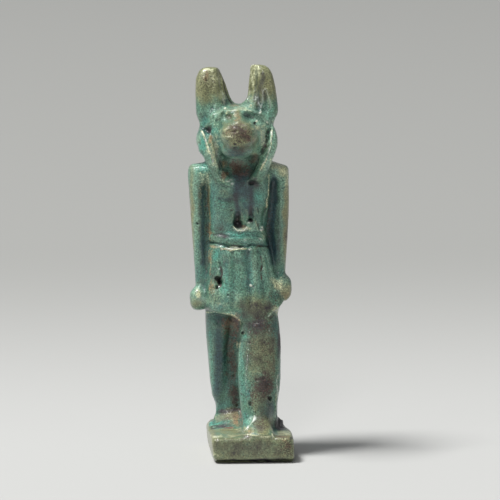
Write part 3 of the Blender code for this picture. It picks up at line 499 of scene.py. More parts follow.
OLIVE = [
    # ears
    (2.55, 39.34, 0.99, 0.77, 0.9), (-2.95, 38.35, 0.77, 1.32, 0.85), (1.34, 38.24, 0.44, 2.42, 0.9),
    (-3.99, 37.8, 0.99, 2.09, 0.9), (2.11, 37.8, 0.44, 1.32, 0.6), (3.54, 38.02, 0.51, 1.87, 0.85),
    (-3.39, 36.15, 1.1, 0.99, 0.55), (1.89, 36.04, 0.37, 0.88, 0.4),
    # face and wig
    (1.67, 35.38, 0.66, 0.66, 0.2), (-2.29, 34.72, 0.55, 0.88, 0.25), (-1.3, 34.28, 0.55, 0.44, 0.5),
    (-1.1, 34.35, 0.53, 0.35, 0.6), (-0.18, 34.5, 0.48, 0.55, 0.8), (-1.74, 33.29, 0.44, 0.55, 0.35),
    (-0.15, 32.19, 1.98, 1.81, 0.95), (1.67, 31.64, 0.44, 0.77, 0.4),
    # shoulders and chest
    (-0.42, 29.0, 1.54, 0.44, 0.35), (1.12, 29.44, 0.55, 0.44, 0.2), (4.75, 28.12, 0.66, 0.77, 0.5),
    (-1.63, 25.92, 0.77, 0.55, 0.35),
    # arms and belt
    (-5.31, 23.39, 0.37, 6.82, 0.7), (5.19, 22.62, 0.48, 6.38, 1.0),
    # kilt and fists
    (5.08, 14.81, 0.99, 1.1, 0.9), (-4.82, 13.71, 1.1, 0.66, 0.6), (-2.62, 14.15, 1.1, 1.1, 0.35),
    (0.35, 13.71, 2.42, 1.32, 0.25), (2.22, 13.16, 2.09, 1.54, 0.55),
    # legs
    (2.0, 8.54, 1.87, 4.62, 0.6), (3.32, 7.44, 0.99, 4.4, 0.35), (1.67, 2.82, 0.66, 1.76, 0.3),
    (2.44, 3.04, 1.1, 2.2, 0.4),
    # feet and block
    (-1.19, 1.67, 0.66, 0.33, 0.35), (-0.97, 1.5, 0.99, 0.71, 0.95), (-2.51, 1.01, 0.99, 0.33, 0.3),
    (-1.19, 1.17, 1.43, 0.99, 0.5), (2.22, 0.73, 1.21, 1.1, 0.25), (3.1, 0.51, 0.77, 0.88, 0.3),
    (2.66, 0.4, 1.21, 0.88, 0.55), (-1.08, -0.37, 2.42, 0.37, 0.75), (1.01, -0.37, 0.88, 0.39, 0.5),
    (2.66, -0.37, 0.99, 0.49, 0.7), (4.75, -0.59, 0.99, 0.33, 0.6), (-3.06, -1.36, 0.44, 1.54, 0.6),
    (1.12, -0.92, 3.74, 0.26, 0.5), (-2.95, -1.91, 0.55, 1.32, 0.9), (3.32, -1.91, 2.42, 1.32, 0.5),
]
BUFF = [
    # ears
    (-3.77, 38.68, 0.44, 0.77, 0.45),
    # face and wig
    (-0.42, 35.38, 0.99, 0.33, 0.45), (-0.18, 34.39, 0.4, 0.55, 0.1), (-0.2, 33.95, 0.49, 0.55, 0.5),
    (-0.31, 33.07, 0.88, 0.66, 0.25), (-1.19, 32.63, 0.66, 0.77, 0.3), (-0.97, 32.74, 0.99, 0.88, 0.15),
    (-3.17, 31.64, 0.37, 0.71, 0.75), (-2.84, 30.54, 0.33, 0.77, 0.5), (0.02, 30.76, 1.98, 0.55, 0.3),
    # shoulders and chest
    (-1.74, 29.0, 0.55, 0.55, 0.6), (-1.68, 27.85, 0.4, 0.51, 0.85),
    # arms and belt
    (0.31, 22.03, 0.29, 0.28, 1.0), (0.4, 22.12, 0.33, 0.21, 0.7), (5.41, 22.29, 0.2, 6.6, 0.25),
    (-3.17, 21.36, 0.35, 0.2, 0.8), (-2.88, 19.98, 0.66, 0.2, 0.6),
    # kilt and fists
    (-3.0, 15.47, 0.37, 0.99, 0.5), (5.08, 14.48, 0.77, 0.77, 0.5),
    # feet and block
    (-0.97, 1.5, 0.77, 0.44, 0.35), (-2.07, 1.0, 0.99, 0.24, 0.15), (-0.35, 0.95, 0.46, 0.99, 0.9),
    (-1.52, -0.04, 0.66, 0.44, 0.3), (1.12, -0.48, 0.55, 0.2, 0.4), (-2.84, -1.03, 0.77, 0.44, 0.1),
    (0.9, -0.92, 0.55, 0.33, 0.5), (4.53, -1.03, 0.88, 0.44, 0.5), (4.75, -1.14, 0.88, 0.44, 0.35),
    (5.19, -1.8, 0.55, 0.88, 0.4),
]
RUDDY = [
    # face and wig
    (1.12, 31.92, 0.71, 0.88, 0.3), (1.56, 29.62, 0.49, 0.4, 0.45),
    # shoulders and chest
    (-0.42, 29.11, 1.54, 0.55, 0.3), (-0.42, 28.78, 1.43, 0.55, 0.25), (0.02, 28.34, 1.54, 0.99, 0.3),
    (0.19, 28.12, 0.28, 0.33, 0.4), (0.9, 28.12, 0.55, 0.66, 0.3), (3.1, 25.04, 0.55, 1.54, 0.2),
    # arms and belt
    (0.02, 22.24, 0.26, 0.35, 0.6),
    # kilt and fists
    (-2.2, 15.91, 0.2, 0.29, 0.8), (-1.19, 11.29, 0.99, 1.43, 0.5), (-0.91, 11.73, 0.44, 0.55, 0.55),
    (-0.31, 11.73, 0.44, 1.1, 0.6),
    # legs
    (-0.31, 10.19, 0.44, 1.54, 0.4), (-0.91, 9.09, 0.39, 2.86, 0.35),
    # feet and block
    (-0.2, 0.73, 0.22, 0.88, 0.25), (-1.35, 0.01, 0.57, 0.17, 0.7), (5.52, -2.02, 0.28, 0.66, 0.2),
]
# Brown dirt, and painted shade in deep places: under the muzzle, the arms' recesses, the web
BROWN_DIRT_AND_SHADE = [
    # ears
    (-1.74, 36.7, 0.22, 0.33, 0.05),
    # face and wig
    (0.68, 35.6, 0.88, 0.33, 0.2), (-0.64, 33.24, 0.55, 0.49, 0.5), (-0.97, 32.63, 0.88, 0.88, 0.35),
    (-0.42, 32.74, 0.99, 0.88, 0.35), (0.35, 32.41, 1.04, 0.99, 0.55), (1.07, 31.81, 0.77, 1.04, 0.28),
    (1.23, 31.53, 0.55, 0.66, 0.3), (1.56, 29.61, 0.6, 0.51, 0.75),
    # shoulders and chest
    (-0.42, 29.13, 1.54, 0.46, 0.58), (-0.2, 28.34, 1.43, 0.88, 0.5), (0.02, 28.34, 1.1, 0.55, 0.55),
    (-1.85, 27.97, 0.55, 0.66, 0.45),
    # arms and belt
    (-2.62, 22.62, 0.77, 1.54, 0.15), (-0.13, 22.56, 0.55, 0.82, 0.7), (2.07, 22.23, 0.15, 0.29, 0.5),
    (3.43, 21.96, 0.55, 1.32, 0.12), (5.3, 21.74, 0.33, 2.86, 0.45), (-2.62, 21.08, 0.77, 0.33, 0.3),
    (-2.29, 21.3, 0.99, 0.88, 0.15), (2.17, 19.83, 0.4, 0.2, 0.9),
    # kilt and fists
    (-3.39, 19.21, 0.44, 0.88, 0.2), (-3.5, 17.78, 0.55, 1.76, 0.25), (-2.62, 17.78, 0.55, 1.1, 0.2),
    (-3.06, 17.12, 0.88, 1.32, 0.25), (-4.27, 16.02, 0.55, 0.88, 0.2), (-4.27, 15.8, 0.55, 0.66, 0.2),
    (-2.29, 16.09, 0.31, 0.51, 0.9), (2.66, 13.38, 1.43, 0.99, 0.4), (2.0, 11.62, 1.43, 0.99, 0.42),
    # legs
    (2.11, 11.18, 0.66, 0.44, 0.1), (-0.97, 10.3, 0.71, 1.43, 0.35), (-1.46, 8.54, 0.33, 3.74, 0.25),
    (3.54, 8.54, 0.88, 4.4, 0.38), (-0.97, 7.22, 0.68, 3.74, 0.62), (1.89, 5.3, 0.33, 0.22, 0.6),
    (2.88, 4.69, 0.99, 1.32, 0.4), (2.88, 4.8, 1.21, 1.21, 0.62), (-0.97, 3.92, 0.66, 1.76, 0.2),
    (1.78, 3.92, 0.99, 1.76, 0.25), (-1.08, 3.59, 0.66, 1.76, 0.35), (-0.53, 3.48, 0.59, 1.98, 0.72),
    (0.9, 3.48, 0.66, 1.1, 0.2),
    # feet and block
    (-0.97, 1.83, 0.66, 0.29, 0.5), (2.11, 1.06, 0.99, 1.1, 0.1), (-1.52, -0.08, 0.77, 0.18, 0.4),
    (5.36, -2.13, 0.49, 1.1, 0.45), (4.09, -3.12, 1.32, 0.44, 0.3),
]
# Deep blue glaze, and painted shade on the chest under the head, in the arms' recesses and jaw
DEEP_BLUE_AND_SHADE = [
    # ears
    (2.66, 36.92, 0.44, 0.88, 0.7), (2.22, 35.93, 0.4, 1.54, 0.6), (2.88, 36.04, 0.29, 0.99, 0.4),
    # face and wig
    (0.79, 34.28, 0.66, 0.33, 0.5), (-3.83, 34.17, 0.44, 0.88, 0.45), (-2.29, 31.09, 0.22, 0.55, 0.4),
    (-0.42, 30.06, 1.43, 0.51, 0.7),
    # shoulders and chest
    (1.34, 28.34, 0.44, 0.88, 0.45), (0.35, 27.9, 1.32, 0.66, 0.5), (0.02, 27.46, 1.21, 0.99, 0.75),
    (0.35, 26.03, 1.65, 1.1, 0.7), (1.23, 25.48, 1.43, 1.54, 0.2),
    # arms and belt
    (1.01, 24.38, 0.99, 1.1, 0.5), (0.57, 24.16, 0.55, 0.55, 0.3), (1.28, 23.72, 0.33, 0.77, 0.35),
    (-0.2, 23.5, 0.55, 0.99, 0.6), (3.38, 23.39, 0.51, 4.95, 0.35),
    # kilt and fists
    (4.2, 18.99, 0.44, 2.64, 0.25), (1.12, 15.14, 0.44, 0.55, 0.2), (-3.61, 12.06, 0.44, 0.88, 0.35),
    (-1.96, 11.95, 1.32, 0.44, 0.45),
    # legs
    (3.65, 11.18, 0.71, 1.1, 0.55), (-2.24, 7.99, 0.81, 5.72, 0.75), (-2.67, 3.59, 0.44, 2.2, 0.5),
    (3.32, 2.6, 0.55, 1.76, 0.5),
    # feet and block
    (-0.86, 1.94, 0.33, 0.55, 0.3), (3.21, 1.94, 0.55, 1.65, 0.65), (-0.64, -2.35, 2.42, 0.99, 0.18),
    (3.54, -2.35, 1.76, 0.88, 0.16),
]
TURQUOISE = [
    # face and wig
    (0.24, 34.67, 0.44, 0.28, 0.4), (3.43, 34.39, 0.55, 0.99, 0.35), (-3.72, 33.73, 0.55, 0.55, 0.45),
    (-2.86, 32.74, 0.46, 0.82, 0.8), (2.38, 32.19, 0.46, 1.04, 0.8), (2.61, 31.64, 0.33, 0.66, 0.3),
    (-4.1, 30.98, 0.53, 1.1, 0.85), (-2.62, 30.76, 0.44, 0.66, 0.3), (-2.62, 29.88, 0.55, 1.32, 0.3),
    # shoulders and chest
    (3.87, 29.11, 0.99, 0.88, 0.4), (-4.05, 28.34, 0.82, 0.71, 0.75), (5.3, 28.01, 0.33, 0.66, 0.3),
    (0.51, 25.04, 0.37, 0.88, 0.5), (1.78, 25.04, 0.55, 0.99, 0.25), (1.89, 25.26, 0.44, 0.88, 0.35),
    (2.44, 25.37, 0.66, 0.88, 0.5), (0.02, 24.71, 0.88, 0.66, 0.3),
    # arms and belt
    (-1.52, 24.49, 1.1, 0.49, 0.35), (-0.53, 21.19, 1.43, 0.48, 0.85), (-1.3, 20.59, 1.32, 0.33, 0.3),
    (1.45, 20.64, 0.99, 0.44, 0.25),
    # kilt and fists
    (-2.73, 18.88, 0.35, 0.99, 0.6), (-2.4, 18.22, 0.26, 1.54, 0.2), (-4.71, 15.14, 0.66, 0.88, 0.25),
    (-1.52, 15.36, 0.99, 1.65, 0.4), (-4.38, 14.04, 0.66, 0.66, 0.4),
    # legs
    (0.63, 9.8, 0.59, 0.42, 0.75), (0.24, 7.44, 0.51, 3.74, 0.3), (0.68, 3.26, 0.66, 2.64, 0.12),
    # feet and block
    (-2.29, 1.39, 0.66, 0.55, 0.3), (0.62, 0.62, 0.49, 0.94, 0.32),
]
# Cream where the glaze is rubbed, and painted highlights on ridges, brows, fists and lit faces
PALE_AND_HIGHLIGHT = [
    # ears
    (1.89, 39.58, 0.26, 0.35, 0.85), (1.78, 39.07, 0.29, 0.66, 0.7), (-3.39, 38.46, 1.32, 0.99, 0.15),
    (-2.95, 38.24, 0.88, 1.32, 0.22), (-2.73, 38.24, 0.55, 1.1, 0.2), (-1.96, 38.24, 0.44, 0.99, 0.35),
    (1.34, 38.57, 0.29, 1.32, 0.35), (1.5, 38.24, 0.29, 0.99, 0.3), (-2.01, 36.48, 0.24, 0.88, 0.7),
    (-1.9, 36.7, 0.08, 0.14, 0.9), (-1.85, 36.1, 0.08, 0.12, 0.9), (-1.76, 36.1, 0.17, 0.66, 0.8),
    # face and wig
    (-1.68, 35.22, 0.1, 0.1, 0.9), (-0.2, 35.05, 1.65, 0.29, 0.35), (1.06, 35.38, 0.29, 0.26, 0.5),
    (-1.41, 34.72, 0.55, 0.33, 0.3), (2.33, 34.7, 0.1, 0.1, 1.0), (1.23, 33.62, 0.22, 0.11, 0.6),
    (1.25, 33.62, 0.12, 0.11, 1.0), (1.34, 34.17, 0.77, 0.44, 0.15), (1.98, 33.67, 0.13, 0.15, 0.8),
    (2.99, 33.73, 0.09, 0.09, 0.9), (3.54, 33.84, 0.44, 0.88, 0.25), (-2.84, 32.96, 0.44, 1.1, 0.22),
    (-1.19, 32.94, 0.35, 0.17, 0.6), (1.84, 32.96, 0.55, 0.35, 0.65), (-2.51, 32.63, 0.44, 1.54, 0.2),
    (2.44, 32.3, 0.51, 1.43, 0.4), (-1.96, 31.97, 0.44, 1.32, 0.15), (-0.97, 31.97, 0.4, 0.18, 0.6),
    (-0.64, 31.93, 0.55, 0.22, 0.35), (2.88, 32.08, 0.55, 0.99, 0.2), (-2.73, 31.09, 0.44, 1.21, 0.35),
    (2.66, 30.98, 0.44, 0.99, 0.4), (-3.5, 30.54, 0.44, 0.88, 0.3), (-2.84, 29.99, 0.44, 1.1, 0.6),
    (1.56, 29.88, 0.44, 0.88, 0.25), (1.78, 29.77, 0.44, 0.55, 0.35), (1.78, 29.88, 0.55, 1.32, 0.3),
    # shoulders and chest
    (-2.73, 29.0, 0.55, 0.77, 0.35), (-1.52, 29.11, 0.88, 0.55, 0.15), (3.65, 29.11, 0.66, 0.77, 0.35),
    (3.76, 29.22, 0.66, 0.88, 0.25), (2.6, 28.78, 0.22, 0.66, 0.3), (3.98, 28.89, 0.99, 0.55, 0.25),
    (4.53, 28.78, 0.66, 0.55, 0.4), (4.64, 28.78, 0.66, 0.66, 0.3), (4.75, 28.34, 0.49, 0.49, 0.55),
    (-4.27, 28.12, 0.44, 0.44, 0.22), (2.66, 28.12, 0.55, 0.66, 0.25), (-3.72, 27.46, 0.66, 1.1, 0.35),
    (-2.62, 27.02, 0.77, 0.44, 0.2), (-1.74, 27.13, 0.44, 0.26, 0.35), (-1.28, 27.14, 0.1, 0.09, 0.8),
    (4.97, 27.57, 0.66, 0.88, 0.3), (-3.5, 26.36, 0.33, 0.55, 0.25), (5.19, 26.14, 0.44, 2.64, 0.2),
    (-4.38, 25.48, 0.29, 2.86, 0.32),
    # arms and belt
    (-3.61, 24.49, 0.33, 2.86, 0.15), (0.02, 21.85, 0.88, 0.33, 0.25), (0.68, 21.85, 0.55, 0.24, 0.5),
    (2.46, 21.64, 0.17, 0.1, 1.0), (2.46, 21.98, 0.1, 0.08, 0.9), (2.55, 21.08, 0.39, 0.39, 0.4),
    (-0.42, 19.72, 1.43, 0.14, 0.9),
    # kilt and fists
    (4.86, 16.68, 0.66, 0.66, 0.2), (1.26, 15.75, 0.12, 0.1, 1.0), (3.54, 15.8, 0.66, 0.66, 0.2),
    (4.09, 15.91, 0.66, 0.66, 0.35), (4.53, 15.8, 0.88, 0.99, 0.25), (4.15, 15.58, 0.59, 0.46, 0.7),
    (5.08, 15.36, 0.44, 0.55, 0.3), (-4.58, 14.7, 0.46, 0.77, 0.75), (4.42, 14.92, 0.66, 0.55, 0.2),
    (3.96, 13.0, 0.55, 0.77, 0.65), (-0.86, 11.4, 0.55, 0.55, 0.3),
    # legs
    (0.42, 10.15, 0.24, 0.13, 0.6), (-0.2, 9.09, 0.22, 0.44, 0.4), (3.32, 3.15, 0.33, 0.44, 0.3),
    # feet and block
    (2.55, -0.04, 0.88, 0.33, 0.3), (0.02, -0.15, 0.55, 0.33, 0.4), (0.4, -0.15, 0.44, 0.22, 0.45),
    (4.75, -0.61, 1.1, 0.29, 0.6), (-2.62, -0.92, 0.44, 0.33, 0.3), (-2.4, -0.92, 0.66, 0.2, 0.5),
    (-1.74, -0.96, 0.99, 0.22, 0.35), (-0.86, -0.98, 1.54, 0.18, 0.3), (2.44, -0.98, 0.77, 0.18, 0.35),
    (2.66, -0.96, 0.99, 0.22, 0.35),
]
# Light glaze, and painted light that lightens faces in shade: right cheek, lappets, shoulders
LIGHT_GLAZE_AND_PAINTED_LIGHT = [
    # ears
    (-1.96, 38.46, 0.44, 0.99, 0.5), (-2.95, 36.92, 0.77, 0.99, 0.4), (1.34, 36.92, 0.44, 1.54, 0.5),
    (-3.06, 36.48, 0.77, 1.1, 0.35), (-2.12, 36.26, 0.44, 1.1, 0.6), (-1.85, 36.81, 0.44, 0.88, 0.6),
    (-2.51, 36.04, 0.55, 0.88, 0.4),
    # face and wig
    (-3.83, 35.27, 0.77, 0.66, 0.25), (-3.5, 34.94, 0.55, 0.88, 0.5), (-0.2, 35.0, 1.65, 0.22, 0.4),
    (0.02, 35.27, 2.09, 0.55, 0.55), (0.79, 34.94, 0.88, 0.55, 0.5), (2.66, 35.16, 0.44, 0.77, 0.5),
    (3.32, 35.38, 0.55, 1.32, 0.3), (-2.29, 34.72, 0.82, 0.99, 0.45), (-2.07, 34.61, 0.55, 0.44, 0.3),
    (-1.74, 34.28, 0.49, 0.49, 0.7), (-0.15, 34.5, 0.51, 0.55, 0.8), (0.9, 34.61, 0.55, 0.2, 0.7),
    (-2.95, 34.06, 0.55, 0.88, 0.4), (1.01, 34.17, 0.77, 0.44, 0.4), (1.34, 34.17, 0.77, 0.44, 0.4),
    (1.56, 33.73, 0.66, 0.77, 0.6), (3.1, 34.06, 0.77, 0.99, 0.6), (3.54, 33.95, 0.44, 0.99, 0.6),
    (2.11, 33.18, 0.66, 0.66, 0.5), (3.54, 33.18, 0.55, 0.88, 0.6), (-2.88, 32.63, 0.48, 0.99, 0.7),
    (2.33, 32.74, 0.66, 1.65, 1.0), (-1.96, 31.64, 0.33, 1.1, 0.4), (-0.64, 31.91, 0.66, 0.22, 0.5),
    (2.66, 31.97, 0.44, 1.1, 0.6), (2.99, 31.97, 0.55, 0.99, 0.6), (4.09, 31.64, 0.55, 1.76, 0.5),
    (-4.71, 31.31, 0.44, 1.32, 0.7), (-3.61, 30.98, 0.44, 0.88, 0.5), (2.88, 31.42, 0.55, 1.43, 0.9),
    (3.76, 31.2, 0.46, 1.65, 0.85), (-3.55, 30.32, 0.48, 1.76, 0.55), (-3.06, 30.54, 0.55, 1.21, 1.0),
    (-2.84, 30.32, 0.66, 1.32, 0.5), (-2.84, 30.32, 0.44, 0.66, 0.5), (1.67, 30.32, 0.66, 0.77, 0.6),
    (1.78, 30.76, 0.44, 0.66, 0.5), (2.44, 30.32, 0.55, 0.88, 0.7), (3.76, 30.32, 0.55, 1.1, 0.5),
    (-2.07, 29.66, 0.44, 0.77, 0.55), (-0.42, 29.66, 1.32, 0.33, 0.4), (1.67, 29.88, 0.55, 0.99, 0.7),
    (1.78, 29.66, 0.55, 1.32, 0.6), (1.78, 29.88, 0.55, 1.32, 0.5), (2.0, 29.88, 0.55, 0.99, 0.4),
    (3.32, 29.66, 0.66, 1.1, 0.6),
    # shoulders and chest
    (-2.84, 29.11, 0.55, 0.66, 0.8), (-2.62, 29.22, 0.55, 1.1, 0.5), (-0.42, 29.0, 1.65, 0.88, 0.5),
    (2.94, 29.44, 0.44, 1.1, 0.65), (3.32, 29.0, 0.55, 0.55, 0.4), (3.32, 29.11, 0.55, 0.66, 0.9),
    (3.54, 29.44, 0.66, 0.99, 0.6), (3.65, 29.0, 0.55, 0.66, 0.6), (-4.82, 28.56, 0.88, 0.88, 0.65),
    (1.01, 28.23, 0.44, 0.55, 0.5), (4.53, 28.78, 0.66, 0.66, 0.7), (4.64, 28.89, 0.66, 0.55, 0.6),
    (-5.26, 27.68, 0.55, 1.1, 0.4), (2.55, 28.12, 0.55, 0.55, 0.5), (4.2, 28.12, 0.55, 0.55, 0.4),
    (4.31, 28.12, 0.55, 0.88, 0.7), (4.75, 28.12, 0.71, 0.77, 0.75), (5.19, 28.12, 0.44, 0.88, 0.6),
    (5.3, 27.9, 0.33, 0.88, 0.6), (-4.71, 27.46, 0.88, 1.32, 0.6), (-3.39, 27.13, 0.33, 0.55, 0.6),
    (-2.4, 27.24, 0.88, 0.55, 0.4), (5.08, 27.24, 0.44, 0.66, 0.4), (5.19, 27.02, 0.44, 1.32, 0.5),
    (-3.5, 26.58, 0.33, 0.55, 0.5), (-1.74, 26.47, 0.88, 0.66, 0.4), (-1.3, 26.8, 1.1, 0.88, 0.4),
    (2.55, 26.14, 0.44, 1.54, 0.4), (3.43, 25.92, 0.33, 2.2, 0.3), (5.19, 25.92, 0.33, 2.64, 0.4),
    (-4.38, 25.04, 0.4, 3.52, 0.5), (-4.38, 24.6, 0.37, 3.74, 0.9),
    # arms and belt
    (-5.04, 23.39, 0.59, 6.82, 0.55), (4.42, 23.39, 0.55, 4.95, 0.45), (4.97, 23.39, 0.26, 4.95, 0.4),
    (-2.62, 22.62, 0.66, 1.76, 0.25), (-1.3, 21.96, 1.54, 1.54, 0.2), (0.35, 21.85, 0.88, 0.33, 0.6),
    (0.68, 21.85, 0.77, 0.29, 0.5), (1.34, 22.07, 1.1, 0.77, 0.75), (2.33, 21.08, 0.66, 0.99, 0.5),
    (2.55, 21.08, 0.44, 0.44, 0.4), (2.66, 21.08, 0.44, 0.44, 0.8), (0.02, 20.86, 2.64, 0.44, 0.35),
    (-0.86, 19.43, 1.1, 0.44, 0.5),
    # kilt and fists
    (-0.86, 18.88, 1.1, 0.66, 0.25), (2.93, 18.66, 0.37, 0.66, 0.7), (2.22, 18.22, 0.99, 1.54, 0.25),
    (3.32, 18.0, 0.44, 1.1, 0.4), (1.67, 17.56, 0.44, 1.98, 0.35), (3.54, 17.12, 0.55, 1.54, 0.45),
    (2.22, 16.79, 1.32, 1.98, 0.3), (3.54, 15.8, 0.55, 0.66, 0.5), (3.76, 15.91, 0.66, 0.88, 0.9),
    (4.86, 15.8, 0.77, 0.66, 0.6), (4.31, 15.14, 0.88, 0.66, 0.5), (4.53, 15.36, 0.99, 1.1, 0.85),
    (-4.65, 14.81, 0.88, 1.32, 0.9), (-2.51, 14.81, 0.88, 0.55, 0.5), (-0.86, 14.59, 1.1, 0.88, 0.4),
    (0.9, 14.92, 0.66, 0.55, 0.3), (4.42, 14.92, 0.77, 0.55, 0.6), (-4.49, 14.04, 0.66, 0.44, 0.7),
    (-4.38, 13.93, 0.77, 0.55, 0.5), (-4.38, 13.82, 0.88, 0.44, 0.5), (-4.38, 13.93, 0.66, 0.44, 0.4),
    (-2.73, 13.82, 0.99, 0.99, 0.35), (-0.2, 14.37, 0.66, 0.66, 0.4), (3.98, 13.16, 0.66, 0.99, 0.6),
    (-1.63, 12.17, 0.77, 0.55, 0.6), (-1.52, 12.06, 0.88, 0.66, 0.6), (-1.3, 11.62, 1.32, 0.99, 0.8),
    (-1.08, 11.62, 0.99, 0.88, 0.6), (-0.86, 11.4, 0.88, 0.77, 0.7), (-0.75, 11.29, 0.66, 0.77, 0.6),
    # legs
    (0.02, 10.52, 0.44, 0.66, 0.5), (0.13, 10.52, 0.55, 0.55, 0.5), (0.02, 10.41, 0.44, 0.55, 0.5),
    (-2.95, 9.09, 0.4, 4.4, 0.35), (0.46, 8.32, 0.77, 2.2, 0.4), (-3.06, 4.58, 0.44, 1.1, 0.3),
    (1.78, 4.36, 0.55, 0.55, 0.4), (-2.62, 3.04, 0.44, 1.54, 0.4),
    # feet and block
    (1.12, 0.51, 0.88, 0.77, 0.5), (3.43, 1.17, 0.44, 0.77, 0.4), (0.02, -0.04, 0.66, 0.44, 0.4),
    (-2.73, -0.26, 0.88, 0.33, 0.5), (-1.3, -0.43, 2.2, 0.33, 0.7), (0.35, -0.26, 0.66, 0.33, 0.7),
    (2.44, -0.31, 1.54, 0.33, 0.6), (-3.06, -1.03, 0.66, 0.55, 0.2), (-1.74, -0.96, 0.88, 0.22, 0.5),
    (2.66, -0.96, 0.88, 0.22, 0.5),
]
SPECKS = [
    # ears
    (2.88, 38.24, 1.32, 2.2, 0.6), (-3.72, 38.02, 1.43, 1.98, 0.75),
    # face and wig
    (-1.3, 34.5, 0.88, 0.66, 0.5), (0.9, 34.28, 0.99, 0.55, 0.5), (0.13, 32.19, 1.98, 1.65, 1.0),
    (2.77, 31.2, 0.55, 1.54, 0.85), (1.56, 29.66, 0.88, 0.77, 0.95),
    # shoulders and chest
    (-1.85, 27.9, 0.77, 0.77, 0.95),
    # arms and belt
    (3.1, 22.62, 0.66, 3.3, 0.75), (-3.5, 22.29, 0.44, 5.5, 0.75),
    # kilt and fists
    (2.0, 18.22, 1.32, 1.98, 0.45), (-3.06, 15.14, 0.77, 1.76, 0.55), (0.02, 15.69, 2.86, 3.3, 0.35),
    (3.87, 14.48, 1.1, 1.54, 0.75), (2.44, 11.62, 1.65, 1.32, 0.95),
    # legs
    (0.9, 9.09, 1.1, 1.76, 0.5), (2.66, 8.54, 1.76, 3.74, 0.7), (2.88, 4.8, 1.32, 1.54, 1.0),
    (2.66, 3.92, 1.1, 1.76, 1.0), (1.67, 3.59, 0.88, 1.54, 0.5), (1.34, 3.04, 0.99, 1.76, 0.9),
    # feet and block
    (-0.86, 0.84, 1.32, 1.32, 0.6), (2.44, 0.73, 1.21, 1.21, 0.8), (2.66, 0.29, 1.32, 0.99, 0.7),
    (1.12, -2.13, 4.4, 1.54, 0.45), (5.08, -2.02, 0.77, 1.54, 0.9), (5.3, -2.24, 0.88, 1.43, 1.0),
]
